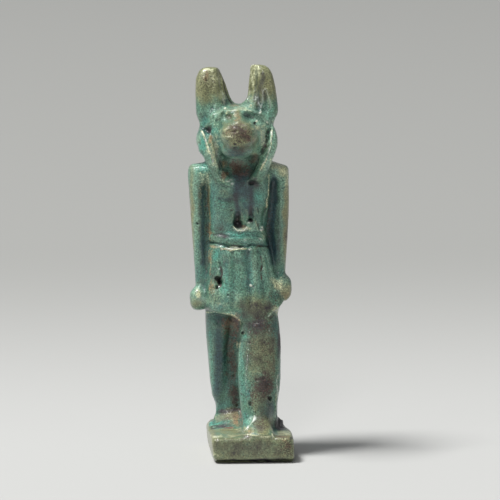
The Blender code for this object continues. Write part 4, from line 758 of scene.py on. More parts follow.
# Painted shade: dark paint in recesses, pits and grooves, under the head and along the block's foot
SHADE = [
    # ears
    (2.45, 38.86, 0.15, 0.14, 0.5), (2.44, 37.8, 0.44, 1.76, 0.6), (1.78, 37.03, 0.44, 0.88, 0.4),
    (1.84, 36.15, 0.37, 0.66, 0.42), (2.11, 36.15, 0.28, 1.32, 0.25), (2.84, 36.48, 0.26, 0.99, 0.42),
    # face and wig
    (-2.51, 35.16, 0.55, 0.55, 0.25), (-0.86, 35.16, 0.55, 0.44, 0.3), (1.78, 35.27, 0.55, 0.66, 0.3),
    (2.44, 35.38, 0.44, 0.88, 0.1), (-1.17, 34.24, 0.46, 0.24, 0.4), (-0.15, 34.45, 0.33, 0.22, 0.3),
    (0.86, 34.3, 0.62, 0.31, 0.25), (-3.83, 32.98, 0.49, 0.24, 0.6), (-0.03, 33.02, 0.88, 0.66, 0.36),
    (1.72, 33.45, 0.25, 0.23, 1.0), (3.12, 32.9, 0.1, 0.1, 0.7), (-3.43, 32.7, 0.29, 0.46, 0.95),
    (3.2, 32.48, 0.12, 0.12, 0.9), (2.97, 31.99, 0.12, 0.13, 0.9), (-0.58, 31.23, 0.15, 0.14, 1.0),
    (-0.13, 31.48, 0.14, 0.13, 0.85), (0.9, 30.87, 0.66, 0.44, 0.25), (2.86, 31.42, 0.12, 0.13, 0.9),
    (-0.51, 30.76, 0.22, 0.14, 0.9), (-0.2, 30.76, 1.76, 0.55, 0.3), (-0.2, 30.49, 1.65, 0.37, 0.4),
    (2.46, 30.61, 0.11, 0.11, 0.8), (2.71, 30.81, 0.12, 0.13, 0.9), (-4.38, 29.88, 0.33, 0.44, 0.3),
    (0.02, 30.16, 1.32, 0.4, 0.25), (2.34, 30.08, 0.12, 0.12, 0.8),
    # shoulders and chest
    (-4.38, 29.44, 0.55, 0.66, 0.7), (-2.18, 28.78, 0.24, 0.66, 0.5), (-0.2, 27.68, 1.1, 0.77, 0.45),
    (1.28, 26.91, 0.44, 0.26, 0.9), (1.34, 27.13, 0.77, 0.48, 0.6), (-3.77, 26.53, 0.22, 0.18, 0.5),
    (-3.65, 26.41, 0.11, 0.15, 0.8), (0.3, 26.8, 0.77, 0.55, 0.36), (1.78, 26.8, 0.55, 0.77, 0.65),
    (0.24, 25.92, 1.54, 1.54, 0.1), (1.23, 25.59, 1.32, 1.54, 0.15), (-3.59, 25.48, 0.09, 0.12, 0.6),
    (-0.86, 25.48, 0.77, 0.55, 0.3), (0.24, 25.04, 1.43, 1.98, 0.12), (-3.56, 24.54, 0.09, 0.11, 0.6),
    (-0.86, 24.93, 1.1, 0.99, 0.32),
    # arms and belt
    (1.28, 23.72, 0.29, 0.77, 0.5), (-3.63, 23.5, 0.1, 0.13, 0.6), (-0.2, 23.28, 0.4, 0.55, 0.45),
    (2.71, 23.61, 0.2, 1.1, 0.4), (-4.69, 22.47, 0.12, 0.12, 0.9), (-3.59, 22.4, 0.1, 0.13, 0.6),
    (-1.3, 22.84, 1.54, 1.32, 0.22), (-0.47, 22.51, 0.33, 0.51, 0.75), (1.11, 22.86, 0.25, 0.21, 0.95),
    (1.19, 22.86, 0.33, 0.18, 0.8), (-2.4, 22.18, 0.88, 1.32, 0.22), (0.0, 22.29, 0.32, 0.44, 0.95),
    (5.3, 21.96, 0.55, 2.2, 0.35), (-3.61, 21.41, 0.09, 0.12, 0.6), (-2.29, 21.52, 1.1, 1.1, 0.35),
    (-2.18, 21.13, 0.66, 0.22, 0.3), (-1.63, 21.08, 1.32, 0.37, 0.62), (4.42, 21.52, 0.44, 3.3, 0.4),
    (-0.42, 19.94, 0.99, 0.13, 0.8), (2.99, 19.94, 0.33, 0.15, 0.6),
    # kilt and fists
    (-1.3, 19.21, 1.32, 0.66, 0.22), (0.9, 19.32, 0.55, 0.55, 0.3), (1.01, 19.21, 0.66, 0.66, 0.25),
    (-3.72, 18.66, 0.44, 1.32, 0.3), (0.02, 18.44, 0.77, 0.77, 0.25), (-4.38, 18.22, 0.55, 2.64, 0.2),
    (-1.74, 18.22, 0.88, 0.88, 0.25), (-0.2, 18.22, 2.42, 0.66, 0.28), (-2.84, 17.12, 0.44, 0.77, 0.4),
    (1.78, 17.56, 0.44, 0.55, 0.22), (1.89, 17.56, 0.66, 1.32, 0.2), (-2.44, 16.44, 0.35, 0.2, 0.7),
    (-2.22, 16.07, 0.22, 0.4, 1.0), (-2.53, 15.45, 0.14, 0.28, 0.8), (1.52, 15.55, 0.18, 0.1, 0.7),
    (-1.24, 14.57, 0.12, 0.12, 0.6), (0.13, 13.82, 0.66, 0.88, 0.35), (2.88, 13.71, 1.1, 0.55, 0.3),
    (-3.5, 13.16, 0.44, 0.33, 0.25), (1.67, 13.16, 2.09, 0.88, 0.5), (3.54, 13.27, 0.66, 0.66, 0.4),
    (-3.5, 13.05, 0.55, 0.44, 0.35), (0.24, 12.39, 0.66, 0.55, 0.35), (2.77, 12.39, 0.88, 0.77, 0.3),
    (-2.51, 12.28, 1.43, 0.33, 0.2), (3.87, 12.11, 0.22, 0.11, 0.7), (4.42, 12.28, 0.44, 0.44, 0.4),
    (-2.4, 11.6, 0.1, 0.22, 0.5), (2.0, 11.51, 1.54, 1.43, 0.6), (2.0, 11.62, 1.32, 0.99, 0.22),
    # legs
    (1.78, 11.18, 0.77, 0.77, 0.3), (0.29, 10.43, 0.15, 0.18, 1.0), (4.53, 10.74, 0.44, 1.76, 0.4),
    (1.12, 10.41, 0.66, 0.55, 0.25), (4.53, 9.86, 0.33, 1.1, 0.4), (-2.84, 9.2, 0.55, 1.32, 0.25),
    (2.44, 9.42, 1.87, 2.64, 0.36), (0.68, 9.09, 0.77, 4.4, 0.33), (3.21, 8.54, 1.1, 4.4, 0.14),
    (4.37, 9.09, 0.33, 1.98, 0.7), (1.67, 7.44, 0.88, 1.21, 0.32), (0.68, 7.0, 0.55, 1.32, 0.25),
    (2.66, 6.89, 0.66, 1.32, 0.35), (2.44, 5.46, 1.32, 0.88, 0.25), (2.44, 5.35, 0.33, 0.29, 0.4),
    (2.88, 4.58, 0.99, 1.32, 0.35), (3.1, 4.8, 0.44, 0.44, 0.3), (1.56, 4.36, 1.1, 1.54, 0.1),
    (2.22, 3.92, 0.99, 1.54, 0.28), (-0.42, 3.26, 0.55, 1.32, 0.5), (3.26, 3.18, 0.18, 0.29, 1.0),
    (1.11, 2.61, 0.22, 0.29, 0.6), (2.55, 2.6, 0.88, 1.1, 0.36),
    # feet and block
    (-1.96, 1.83, 0.44, 0.44, 0.45), (-1.85, 1.83, 0.66, 0.28, 0.4), (-0.97, 1.9, 0.88, 0.18, 0.5),
    (-2.12, 1.72, 0.66, 0.44, 0.4), (-1.19, 1.28, 1.43, 0.99, 0.18), (-1.52, 0.84, 1.1, 0.88, 0.3),
    (2.0, 0.84, 0.88, 1.1, 0.3), (2.66, 1.06, 0.99, 1.32, 0.36), (4.2, 0.84, 0.44, 0.99, 0.6),
    (-1.68, 0.23, 0.77, 0.37, 0.5), (2.44, -0.04, 1.1, 0.33, 0.36), (4.42, 0.4, 0.73, 0.75, 1.0),
    (4.53, -0.04, 0.66, 0.44, 0.4), (5.52, -0.04, 0.44, 0.22, 0.6), (0.79, -0.96, 0.48, 0.26, 0.5),
    (3.76, -1.03, 1.32, 0.33, 0.3), (4.53, -0.92, 0.88, 0.33, 0.35), (5.69, -1.14, 0.18, 0.55, 0.7),
    (-2.62, -2.13, 0.55, 0.99, 0.3), (1.12, -2.13, 5.28, 1.43, 0.5), (4.42, -2.79, 0.55, 0.55, 0.25),
    (1.34, -3.58, 4.95, 0.22, 0.9),
]

PATCHES = {
    "painted_highlight": PAINTED_HIGHLIGHTS, "olive": OLIVE, "buff": BUFF, "ruddy": RUDDY, "brown": BROWN_DIRT_AND_SHADE, "blue": DEEP_BLUE_AND_SHADE,
    "turquoise": TURQUOISE, "pale": PALE_AND_HIGHLIGHT, "light": LIGHT_GLAZE_AND_PAINTED_LIGHT, "specks": SPECKS, "shade": SHADE,
}

# Lines of colour, painted shade and painted highlights among them: points, half width and strength
LINES = {
    # painted highlights along ridges and edges
    "painted_highlight": [
        ([(2.38, 35.38), (2.44, 36.26), (2.62, 36.97), (2.95, 37.27), (3.21, 36.92), (3.26, 36.04),
          (3.26, 35.05)], 0.09, 0.3),
        ([(-2.02, 19.72), (-1.5, 19.85), (-0.97, 19.63), (-0.26, 19.76), (0.29, 19.76)], 0.07, 0.95),
        ([(-1.5, 19.83), (-0.97, 19.63), (-0.31, 19.74)], 0.09, 0.95),
        ([(-0.66, 22.01), (-0.44, 21.74), (-0.09, 21.65), (0.35, 21.72), (0.75, 21.98)], 0.07, 0.85),
        ([(-0.81, 34.74), (-0.46, 34.88)], 0.1, 0.8),
        ([(0.79, 34.92), (1.17, 34.9)], 0.09, 0.6),
        ([(-4.2, 32.68), (-3.89, 31.93), (-3.72, 31.47), (-3.37, 30.63), (-3.17, 29.94),
          (-2.97, 29.31)], 0.06, 0.55),
        ([(3.5, 32.52), (3.48, 31.97), (3.41, 31.51), (3.19, 30.63), (3.01, 29.93),
          (2.53, 28.87)], 0.06, 0.6),
        ([(3.5, 32.48), (3.49, 32.13)], 0.1, 0.8),
        ([(3.2, 30.76), (3.17, 30.43)], 0.1, 0.8),
        ([(1.5, 1.12), (1.49, 0.73), (1.31, 0.35), (0.84, -0.06), (0.39, -0.47)], 0.07, 0.5),
        ([(4.19, 5.9), (4.14, 3.26)], 0.06, 0.5),
    ],
    "olive": [
        ([(-3.37, 26.58), (-3.37, 24.38)], 0.22, 0.5),
        ([(-2.84, -0.92), (2.44, -1.03)], 0.3, 0.3),
    ],
    "buff": [
        ([(-3.43, 26.14), (-3.34, 22.29), (-3.28, 20.53)], 0.24, 0.55),
        ([(-3.23, 19.65), (-3.23, 16.9)], 0.22, 0.5),
        ([(-0.59, 12.19), (-1.19, 12.41)], 0.12, 0.5),
        ([(-3.78, 39.18), (-3.81, 38.35)], 0.22, 0.7),
    ],
    "ruddy": [
        ([(-0.57, 8.54), (-0.57, 5.24), (-0.24, 2.6)], 0.2, 0.3),
        ([(0.07, 1.72), (0.2, 0.4)], 0.14, 0.6),
    ],
    # brown dirt and painted shade in the arms' recesses and grooves
    "brown": [
        ([(-3.67, 26.36), (-3.72, 23.72), (-3.65, 20.64)], 0.24, 0.25),
        ([(3.61, 27.46), (3.54, 25.04), (3.17, 22.84), (3.1, 20.64)], 0.44, 0.12),
        ([(2.33, 18.88), (2.35, 16.24)], 0.16, 0.8),
        ([(-2.18, 18.0), (-2.11, 16.57)], 0.14, 0.7),
        ([(-0.75, 1.9), (0.02, 1.92)], 0.2, 0.9),
        ([(1.94, 24.07), (2.07, 23.68)], 0.13, 0.8),
        ([(-3.78, 39.18), (-3.81, 38.35)], 0.16, 0.45),
    ],
    # deep blue glaze and painted shade down the arms' recesses and the chest
    "blue": [
        ([(-4.05, 26.8), (-4.05, 23.94), (-4.0, 20.64), (-3.96, 18.0)], 0.44, 0.5),
        ([(3.72, 27.46), (3.65, 24.49), (3.39, 22.29), (3.48, 19.32)], 0.62, 0.75),
        ([(-0.26, 11.29), (-0.31, 8.98)], 0.2, 0.35),
        ([(-2.29, 25.09), (-0.86, 25.13)], 0.24, 0.55),
        ([(-0.42, 26.58), (-0.35, 25.04), (-0.2, 23.5)], 0.4, 0.65),
        ([(1.3, 26.36), (1.23, 25.04), (1.23, 23.61)], 0.38, 0.65),
        ([(-4.27, 26.8), (-4.27, 23.94), (-4.2, 20.64), (-4.16, 18.0)], 0.5, 0.5),
        ([(3.76, 26.69), (3.65, 23.94), (3.54, 21.19), (3.65, 18.22)], 0.8, 0.6),
        ([(0.95, 19.32), (0.97, 16.02)], 0.18, 0.35),
    ],
    "turquoise": [
        ([(-3.3, 0.36), (-2.29, 0.47), (-1.3, 0.62)], 0.26, 1.0),
        ([(-3.32, 10.74), (-3.06, 6.34), (-2.57, 2.16)], 0.3, 0.4),
        ([(2.77, 18.66), (2.99, 16.9), (3.17, 15.14)], 0.34, 0.35),
    ],
    # cream rubbed rims, and painted highlights along ridges, the hem, belt and block edges
    "pale": [
        ([(-4.07, 39.25), (-3.61, 39.35), (-2.88, 39.14)], 0.24, 0.9),
        ([(-1.55, 32.91), (-0.91, 33.03)], 0.2, 0.6),
        ([(-0.62, 33.47), (-0.26, 33.63)], 0.2, 0.6),
        ([(-1.55, 32.02), (-1.08, 31.88), (-0.64, 32.02)], 0.16, 0.35),
        ([(-1.52, 34.77), (-0.75, 34.88), (0.02, 34.92), (1.12, 34.81)], 0.12, 0.45),
        ([(1.12, 34.81), (2.0, 34.5), (2.66, 34.06), (3.16, 33.4)], 0.12, 0.3),
        ([(-4.18, 32.63), (-3.97, 31.97), (-3.69, 31.34), (-3.33, 30.27), (-3.01, 29.39)], 0.13, 0.85),
        ([(3.54, 32.63), (3.46, 31.64), (3.26, 30.54), (2.83, 29.39), (2.33, 28.18)], 0.12, 0.75),
        ([(1.39, 39.78), (1.34, 37.58)], 0.18, 0.45),
        ([(-3.84, 12.84), (-3.46, 12.62), (-2.89, 12.74), (-2.07, 12.68), (-1.25, 12.46), (-0.68, 12.27),
          (-0.24, 11.98), (-0.02, 11.71), (0.04, 11.29)], 0.1, 0.6),
        ([(-0.8, 22.17), (-0.32, 21.66), (0.4, 21.72), (0.81, 22.05)], 0.12, 0.7),
        ([(-2.11, 19.7), (-1.45, 19.77), (-0.98, 19.54), (-0.26, 19.65), (0.4, 19.67)], 0.16, 1.0),
        ([(-3.5, -0.7), (-3.11, -1.03), (-2.9, -2.9)], 0.26, 0.45),
        ([(-3.06, -0.92), (-2.07, -0.8)], 0.18, 0.8),
        ([(-1.46, -1.01), (0.13, -0.79), (3.1, -0.85)], 0.16, 0.65),
        ([(3.59, -0.79), (3.72, -1.12)], 0.14, 0.8),
        ([(4.11, -1.23), (5.17, -1.23)], 0.17, 0.7),
        ([(1.5, 1.12), (1.49, 0.73), (1.31, 0.35), (0.84, -0.06), (0.39, -0.47)], 0.16, 0.35),
        ([(3.01, 27.77), (3.19, 26.47), (2.96, 24.32)], 0.11, 0.65),
        ([(3.96, 3.81), (3.83, 0.73)], 0.1, 0.45),
        ([(4.19, 5.9), (4.16, 3.26)], 0.1, 0.35),
        ([(1.67, 22.82), (2.04, 21.69)], 0.1, 0.4),
        ([(1.76, 24.19), (2.0, 23.48)], 0.1, 0.4),
        ([(-3.06, -2.96), (-1.96, -3.16)], 0.1, 0.6),
    ],
    # light glaze and painted light along strips and edges
    "light": [
        ([(-0.02, 9.31), (-0.15, 7.99), (-0.18, 6.78)], 0.2, 0.7),
        ([(-3.23, 19.65), (-3.23, 16.9)], 0.2, 0.3),
        ([(0.09, 18.99), (0.13, 15.69)], 0.2, 0.35),
        ([(1.67, 18.99), (1.72, 16.02)], 0.24, 0.4),
        ([(-1.08, 18.66), (-1.03, 15.8)], 0.2, 0.3),
        ([(-2.88, -0.48), (-3.06, 0.4)], 0.2, 0.3),
    ],
    # painted shade along recesses, grooves and the left ear's inner edge
    "shade": [
        ([(-2.05, 38.9), (-1.83, 38.24), (-1.69, 37.58), (-1.5, 36.92), (-1.28, 36.26), (-1.08, 35.82),
          (-0.92, 35.6)], 0.19, 0.75),
        ([(3.23, 32.63), (3.05, 32.08)], 0.2, 0.35),
        ([(2.86, 31.31), (2.48, 30.27)], 0.2, 0.5),
        ([(-3.17, -0.03), (-2.4, 0.05), (-1.63, 0.19)], 0.12, 0.8),
        ([(3.61, 27.46), (3.54, 25.04), (3.12, 22.84), (3.1, 20.2)], 0.42, 0.25),
        ([(4.14, 27.46), (4.09, 18.22)], 0.5, 0.35),
        ([(-0.42, 26.36), (-0.35, 25.04), (-0.2, 23.72)], 0.32, 0.35),
        ([(1.3, 26.14), (1.23, 25.04), (1.23, 23.61)], 0.32, 0.4),
        ([(-4.49, 25.92), (-4.49, 21.52)], 0.4, 0.42),
        ([(-2.15, 17.78), (-2.09, 16.46)], 0.12, 0.6),
        ([(-2.62, 29.88), (-2.22, 28.56)], 0.22, 0.45),
        ([(-0.24, 11.62), (-0.24, 8.54), (-0.44, 6.12)], 0.1, 0.2),
        ([(4.33, 6.12), (4.14, 3.26), (4.03, 1.06)], 0.1, 0.4),
        ([(1.94, 24.07), (2.07, 23.68)], 0.11, 0.6),
    ],
}


def picture_axes(azimuth=SIGHT_AZIMUTH, elevation=SIGHT_ELEVATION):
    """Right, up and towards the viewer, on the picture plane."""
    right = Vector((math.cos(azimuth), math.sin(azimuth), 0))
    level = math.cos(elevation)
    back = Vector((math.sin(azimuth) * level, -math.cos(azimuth) * level, math.sin(elevation)))
    return right, back.cross(right), back


def figure_middle():
    """Where the figure's middle line meets the block's top."""
    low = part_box(NODE)[0]
    return Vector((low.x + LEFT_REACH, low.y + FRONT_REACH, low.z + BLOCK_TOP))


def picture_target():
    """The point that the camera looks at."""
    right, up, back = picture_axes()
    across, height = PICTURE_MIDDLE
    return figure_middle() + right * across * MM + up * height * MM


def seen(places):
    """Where points show on the picture plane, in millimetres, across and up."""
    right, up, back = (np.array(axis) for axis in picture_axes())
    rel = places - np.array(picture_target())
    nearer = SIGHT_DISTANCE / (SIGHT_DISTANCE - rel @ back)
    return (rel @ right * nearer / MM + PICTURE_MIDDLE[0],
            rel @ up * nearer / MM + PICTURE_MIDDLE[1])


def add_node(tree, kind, inputs=None, **settings):
    """A node with its settings, and its inputs given as values or as sockets to link from."""
    made = tree.nodes.new(kind)
    for name, value in settings.items():
        setattr(made, name, value)
    for key, value in (inputs or {}).items():
        if isinstance(value, bpy.types.NodeSocket):
            tree.links.new(value, made.inputs[key])
        else:
            made.inputs[key].default_value = value
    return made


def calc(tree, operation, first, second=0.0, third=0.0, clamp=False):
    """The result of a Math node."""
    inputs = {0: first, 1: second, 2: third}
    return add_node(tree, "ShaderNodeMath", inputs, operation=operation,
                    use_clamp=clamp).outputs[0]


def times(tree, first, second):
    """A product."""
    return calc(tree, "MULTIPLY", first, second)


def plus(tree, first, second):
    """A sum."""
    return calc(tree, "ADD", first, second)


def vector_calc(tree, operation, first, second=(0, 0, 0), scale=1.0):
    """The vector that a Vector Math node gives."""
    inputs = {0: first, 1: second}
    if operation == "SCALE":
        inputs = {0: first, "Scale": scale}
    return add_node(tree, "ShaderNodeVectorMath", inputs, operation=operation).outputs[0]


def ramp(tree, value, low, high, to_low=0.0, to_high=1.0):
    """A value brought smoothly from one range to another, and held at its ends."""
    inputs = {"Value": value, "From Min": low, "From Max": high,
              "To Min": to_low, "To Max": to_high}
    return add_node(tree, "ShaderNodeMapRange", inputs,
                    interpolation_type="SMOOTHSTEP").outputs["Result"]


def blended(tree, share, first, second):
    """Two colours mixed by a share."""
    made = add_node(tree, "ShaderNodeMix", data_type="RGBA")
    for index, value in ((0, share), (6, first), (7, second)):
        if isinstance(value, bpy.types.NodeSocket):
            tree.links.new(value, made.inputs[index])
        else:
            made.inputs[index].default_value = value if index == 0 else (*value[:3], 1.0)
    return made.outputs[2]


def add_object(name, data):
    """A new object in the scene."""
    made = bpy.data.objects.new(name, data)
    bpy.context.scene.collection.objects.link(made)
    return made


def new_material(name):
    """A material with its tree, its shader and the object's own coordinates."""
    material = bpy.data.materials.new(name)
    material.use_nodes = True
    tree = material.node_tree
    local = add_node(tree, "ShaderNodeTexCoord").outputs["Object"]
    return material, tree, tree.nodes["Principled BSDF"], local


def new_geometry_tree(name, sockets):
    """A geometry tree with its input and output nodes. Each socket is (name, kind, default)."""
    tree = bpy.data.node_groups.new(name, "GeometryNodeTree")
    tree.interface.new_socket(name="Geometry", in_out="INPUT", socket_type="NodeSocketGeometry")
    for label, kind, default in sockets:
        socket = tree.interface.new_socket(name=label, in_out="INPUT",
                                           socket_type="NodeSocket" + kind)
        if default is not None:
            socket.default_value = default
    tree.interface.new_socket(name="Geometry", in_out="OUTPUT", socket_type="NodeSocketGeometry")
    return tree, tree.nodes.new("NodeGroupInput"), tree.nodes.new("NodeGroupOutput")


def close_tree(tree, source, target, geometry):
    """End a tree with real geometry in the chosen material."""
    real = add_node(tree, "GeometryNodeRealizeInstances", {"Geometry": geometry})
    painted = add_node(tree, "GeometryNodeSetMaterial", {"Geometry": real.outputs[0],
                                                         "Material": source.outputs["Material"]})
    tree.links.new(painted.outputs[0], target.inputs["Geometry"])


def pleats_tree():
    """Grooves at even angles round the kilt, from under the belt to above the hem."""
    tree, source, target = new_geometry_tree("Kilt pleats", [
        ("Middle", "Vector", (0, 0, 0)),
        ("First", "Float", FIRST_PLEAT),
        ("Pitch", "Float", PLEAT_PITCH),
        ("Depth", "Float", PLEAT_DEPTH),
        ("Top", "Float", KILT_TOP),
        ("Foot", "Float", KILT_FOOT),
        ("Reach", "Float", KILT_REACH),
        ("Material", "Material", None),
    ])
    place = add_node(tree, "GeometryNodeInputPosition").outputs[0]
    normal = add_node(tree, "GeometryNodeInputNormal").outputs[0]
    local = vector_calc(tree, "SUBTRACT", place, source.outputs["Middle"])
    parts = add_node(tree, "ShaderNodeSeparateXYZ", {0: local})
    forward = times(tree, parts.outputs["Y"], -1.0)
    angle = calc(tree, "ARCTAN2", parts.outputs["X"], forward)
    count = calc(tree, "DIVIDE", calc(tree, "SUBTRACT", angle, source.outputs["First"]),
                 source.outputs["Pitch"])
    off = calc(tree, "ABSOLUTE", calc(tree, "SUBTRACT", count, calc(tree, "ROUND", count)))
    groove = ramp(tree, off, 0.0, GROOVE_HALF, 1.0, 0.0)
    ridge = ramp(tree, off, RIDGE_START, 0.5, 0.0, RIDGE_HEIGHT)
    shape = calc(tree, "SUBTRACT", groove, ridge)
    height = parts.outputs["Z"]
    top = source.outputs["Top"]
    foot = source.outputs["Foot"]
    under_belt = ramp(tree, height, top, calc(tree, "SUBTRACT", top, BELT_FADE))
    above_hem = ramp(tree, height, foot, plus(tree, foot, HEM_FADE))
    inside = ramp(tree, calc(tree, "ABSOLUTE", parts.outputs["X"]), source.outputs["Reach"],
                  calc(tree, "SUBTRACT", source.outputs["Reach"], SIDE_FADE))
    facing = add_node(tree, "ShaderNodeSeparateXYZ", {0: normal}).outputs["Y"]
    front = ramp(tree, facing, *PLEAT_FACING)
    mask = times(tree, times(tree, under_belt, above_hem), times(tree, inside, front))
    depth = times(tree, times(tree, shape, mask), source.outputs["Depth"])
    offset = vector_calc(tree, "SCALE", normal, scale=times(tree, depth, -1.0))
    moved = add_node(tree, "GeometryNodeSetPosition", {"Geometry": source.outputs["Geometry"],
                                                       "Offset": offset})
    close_tree(tree, source, target, moved.outputs[0])
    return tree


def skin_tree():
    """The unevenness of a thick glaze, and pinholes scattered over it."""
    tree, source, target = new_geometry_tree("Glaze skin", [
        ("Swell", "Float", SWELL),
        ("Swell Size", "Float", SWELL_SIZE),
        ("Grain", "Float", GRAIN),
        ("Grain Size", "Float", GRAIN_SIZE),
        ("Spacing", "Float", PINHOLE_SPACING),
        ("Pinhole", "Float", PINHOLE),
        ("Pinhole Depth", "Float", PINHOLE_DEPTH),
        ("Seed", "Int", PINHOLE_SEED),
        ("Material", "Material", None),
    ])
    skin = source.outputs["Geometry"]
    place = add_node(tree, "GeometryNodeInputPosition").outputs[0]
    normal = add_node(tree, "GeometryNodeInputNormal").outputs[0]
    worn = add_node(tree, "GeometryNodeInputNamedAttribute", {"Name": "worn"},
                    data_type="FLOAT").outputs["Attribute"]
    rougher = plus(tree, NOISE_SPAN, times(tree, worn, WORN_ROUGHER))
    heights = []
    for depth, size, detail, more in (("Swell", "Swell Size", 1.0, NOISE_SPAN),
                                      ("Grain", "Grain Size", 2.0, rougher)):
        often = calc(tree, "DIVIDE", 1.0, source.outputs[size])
        uneven = add_node(tree, "ShaderNodeTexNoise",
                          {"Vector": place, "Scale": often, "Detail": detail, "Roughness": 0.5})
        centred = calc(tree, "SUBTRACT", uneven.outputs[0], 0.5)
        heights.append(times(tree, centred, times(tree, source.outputs[depth], more)))
    spots = add_node(tree, "GeometryNodeDistributePointsOnFaces",
                     {"Mesh": skin, "Distance Min": source.outputs["Spacing"],
                      "Density Max": MOST_POINTS, "Seed": source.outputs["Seed"]},
                     distribute_method="POISSON").outputs["Points"]
    nearest = add_node(tree, "GeometryNodeSampleNearest",
                       {"Geometry": spots, "Sample Position": place}, domain="POINT").outputs[0]
    chance = add_node(tree, "FunctionNodeRandomValue",
                      {"Min": 0.0, "Max": 1.0, "Seed": source.outputs["Seed"]}, data_type="FLOAT")
    spot_place = add_node(tree, "GeometryNodeSampleIndex",
                          {"Geometry": spots, "Value": place, "Index": nearest},
                          data_type="FLOAT_VECTOR", domain="POINT").outputs[0]
    luck = add_node(tree, "GeometryNodeSampleIndex",
                    {"Geometry": spots, "Value": chance.outputs["Value"], "Index": nearest},
                    data_type="FLOAT", domain="POINT").outputs[0]
    apart = vector_calc(tree, "SUBTRACT", place, spot_place)
    gap = add_node(tree, "ShaderNodeVectorMath", {0: apart}, operation="LENGTH").outputs["Value"]
    wider = plus(tree, LEAST_PINHOLE, calc(tree, "POWER", luck, PINHOLE_RARITY))
    size = times(tree, source.outputs["Pinhole"], wider)
    hole = ramp(tree, calc(tree, "DIVIDE", gap, size), 0.3, 1.0, 1.0, 0.0)
    sunk = times(tree, hole, source.outputs["Pinhole Depth"])
    height = calc(tree, "SUBTRACT", plus(tree, heights[0], heights[1]), sunk)
    moved = add_node(tree, "GeometryNodeSetPosition",
                     {"Geometry": skin, "Offset": vector_calc(tree, "SCALE", normal, scale=height)})
    stored = add_node(tree, "GeometryNodeStoreNamedAttribute",
                      {"Geometry": moved.outputs[0], "Name": "pinhole", "Value": hole},
                      data_type="FLOAT", domain="POINT")
    close_tree(tree, source, target, stored.outputs[0])
    return tree


def with_tree(thing, tree, values):
    """Give an object the mesh that a geometry tree makes of it, with inputs set by name."""
    modifier = thing.modifiers.new(tree.name, "NODES")
    modifier.node_group = tree
    for item in tree.interface.items_tree:
        if item.item_type == "SOCKET" and item.in_out == "INPUT" and item.name in values:
            modifier[item.identifier] = values[item.name]
    evaluated(thing)


def evaluated(thing):
    """Replace an object's mesh by its evaluated one, and clear its modifiers."""
    graph = bpy.context.evaluated_depsgraph_get()
    mesh = bpy.data.meshes.new_from_object(thing.evaluated_get(graph))
    thing.modifiers.clear()
    thing.data = mesh
    return thing


class Skin:
    """The points of a mesh with the way they face and their neighbours."""

    def __init__(self, mesh):
        self.mesh = mesh
        self.count = len(mesh.vertices)
        self.places = self.read("co")
        edges = np.empty(len(mesh.edges) * 2, dtype=np.int64)
        mesh.edges.foreach_get("vertices", edges)
        self.one, self.other = edges.reshape(-1, 2).T
        ends = np.concatenate((self.one, self.other))
        self.valence = np.maximum(np.bincount(ends, minlength=self.count), 1)

    def read(self, name):
        """A vector of every vertex."""
        values = np.empty(self.count * 3)
        self.mesh.vertices.foreach_get(name, values)
        return values.reshape(-1, 3)

    def write(self):
        """Put the points back into the mesh."""
        self.mesh.vertices.foreach_set("co", self.places.ravel())
        self.mesh.update()

    def facing(self):
        """The way each point faces, as the mesh now stands."""
        self.write()
        return self.read("normal")

    def around(self, values):
        """The mean of each point's neighbours."""
        total = np.bincount(self.one, values[self.other], self.count)
        total += np.bincount(self.other, values[self.one], self.count)
        return total / self.valence

    def drift(self, share):
        """Move every point a share of the way to the middle of its neighbours."""
        for axis in range(3):
            column = self.places[:, axis]
            self.places[:, axis] = column + share * (self.around(column) - column)

    def eased(self, rounds):
        """Smooth the surface without shrinking it."""
        for _ in range(rounds):
            self.drift(EASING_SHARE)
            self.drift(EASING_REGROWTH)


def falloff(distance, reach=1.0):
    """One at the middle, fading smoothly to nothing at the reach."""
    return np.clip(1 - (distance / reach) ** 2, 0, 1) ** 2


def to_line(across, up, path):
    """Distance of points from a line of straight runs on the picture plane."""
    nearest = np.full(across.shape, np.inf)
    for (x0, z0), (x1, z1) in zip(path, path[1:]):
        run_x, run_z = x1 - x0, z1 - z0
        share = ((across - x0) * run_x + (up - z0) * run_z) / (run_x**2 + run_z**2)
        share = np.clip(share, 0, 1)
        gap = np.hypot(across - x0 - share * run_x, up - z0 - share * run_z)
        nearest = np.minimum(nearest, gap)
    return nearest


def from_middle(across, up, x, z, half_x, half_z):
    """Distance of points from the middle of an oval, as a share of its half sizes."""
    return np.hypot((across - x) / half_x, (up - z) / half_z)


def patch(across, up, spots):
    """How far points lie inside soft round patches, from 0 to 1."""
    bare = np.ones(across.shape)
    for *oval, strength in spots:
        bare *= 1 - strength * falloff(from_middle(across, up, *oval), PATCH_SPREAD)
    return 1 - bare


def toward_viewer(facing, start, slope):
    """How far points turn towards the viewer, from 0 to 1."""
    return np.clip((facing @ np.array(picture_axes()[2]) - start) * slope, 0, 1)


def depths(places):
    """How far points lie towards the viewer from the figure's middle line, in millimetres."""
    return (places - np.array(figure_middle())) @ np.array(picture_axes()[2]) / MM


def ripple(places, size, seed):
    """Smooth unevenness of about the given size in millimetres, from about -1 to 1."""
    chance = np.random.default_rng(seed)
    total = np.zeros(len(places))
    for _ in range(RIPPLE_WAVES):
        way = chance.normal(size=3)
        way *= 2 * math.pi / (size * np.linalg.norm(way))
        total += np.sin(places @ way / MM + chance.uniform(0, 2 * math.pi))
    return total * math.sqrt(2 / RIPPLE_WAVES) / RIPPLE_PEAK


def wandering(places, across, up, reach, size, seed):
    """Places on the picture plane, shifted a little to and fro so that edges wander."""
    return (across + reach * ripple(places, size, seed),
            up + reach * ripple(places, size, seed + 1))


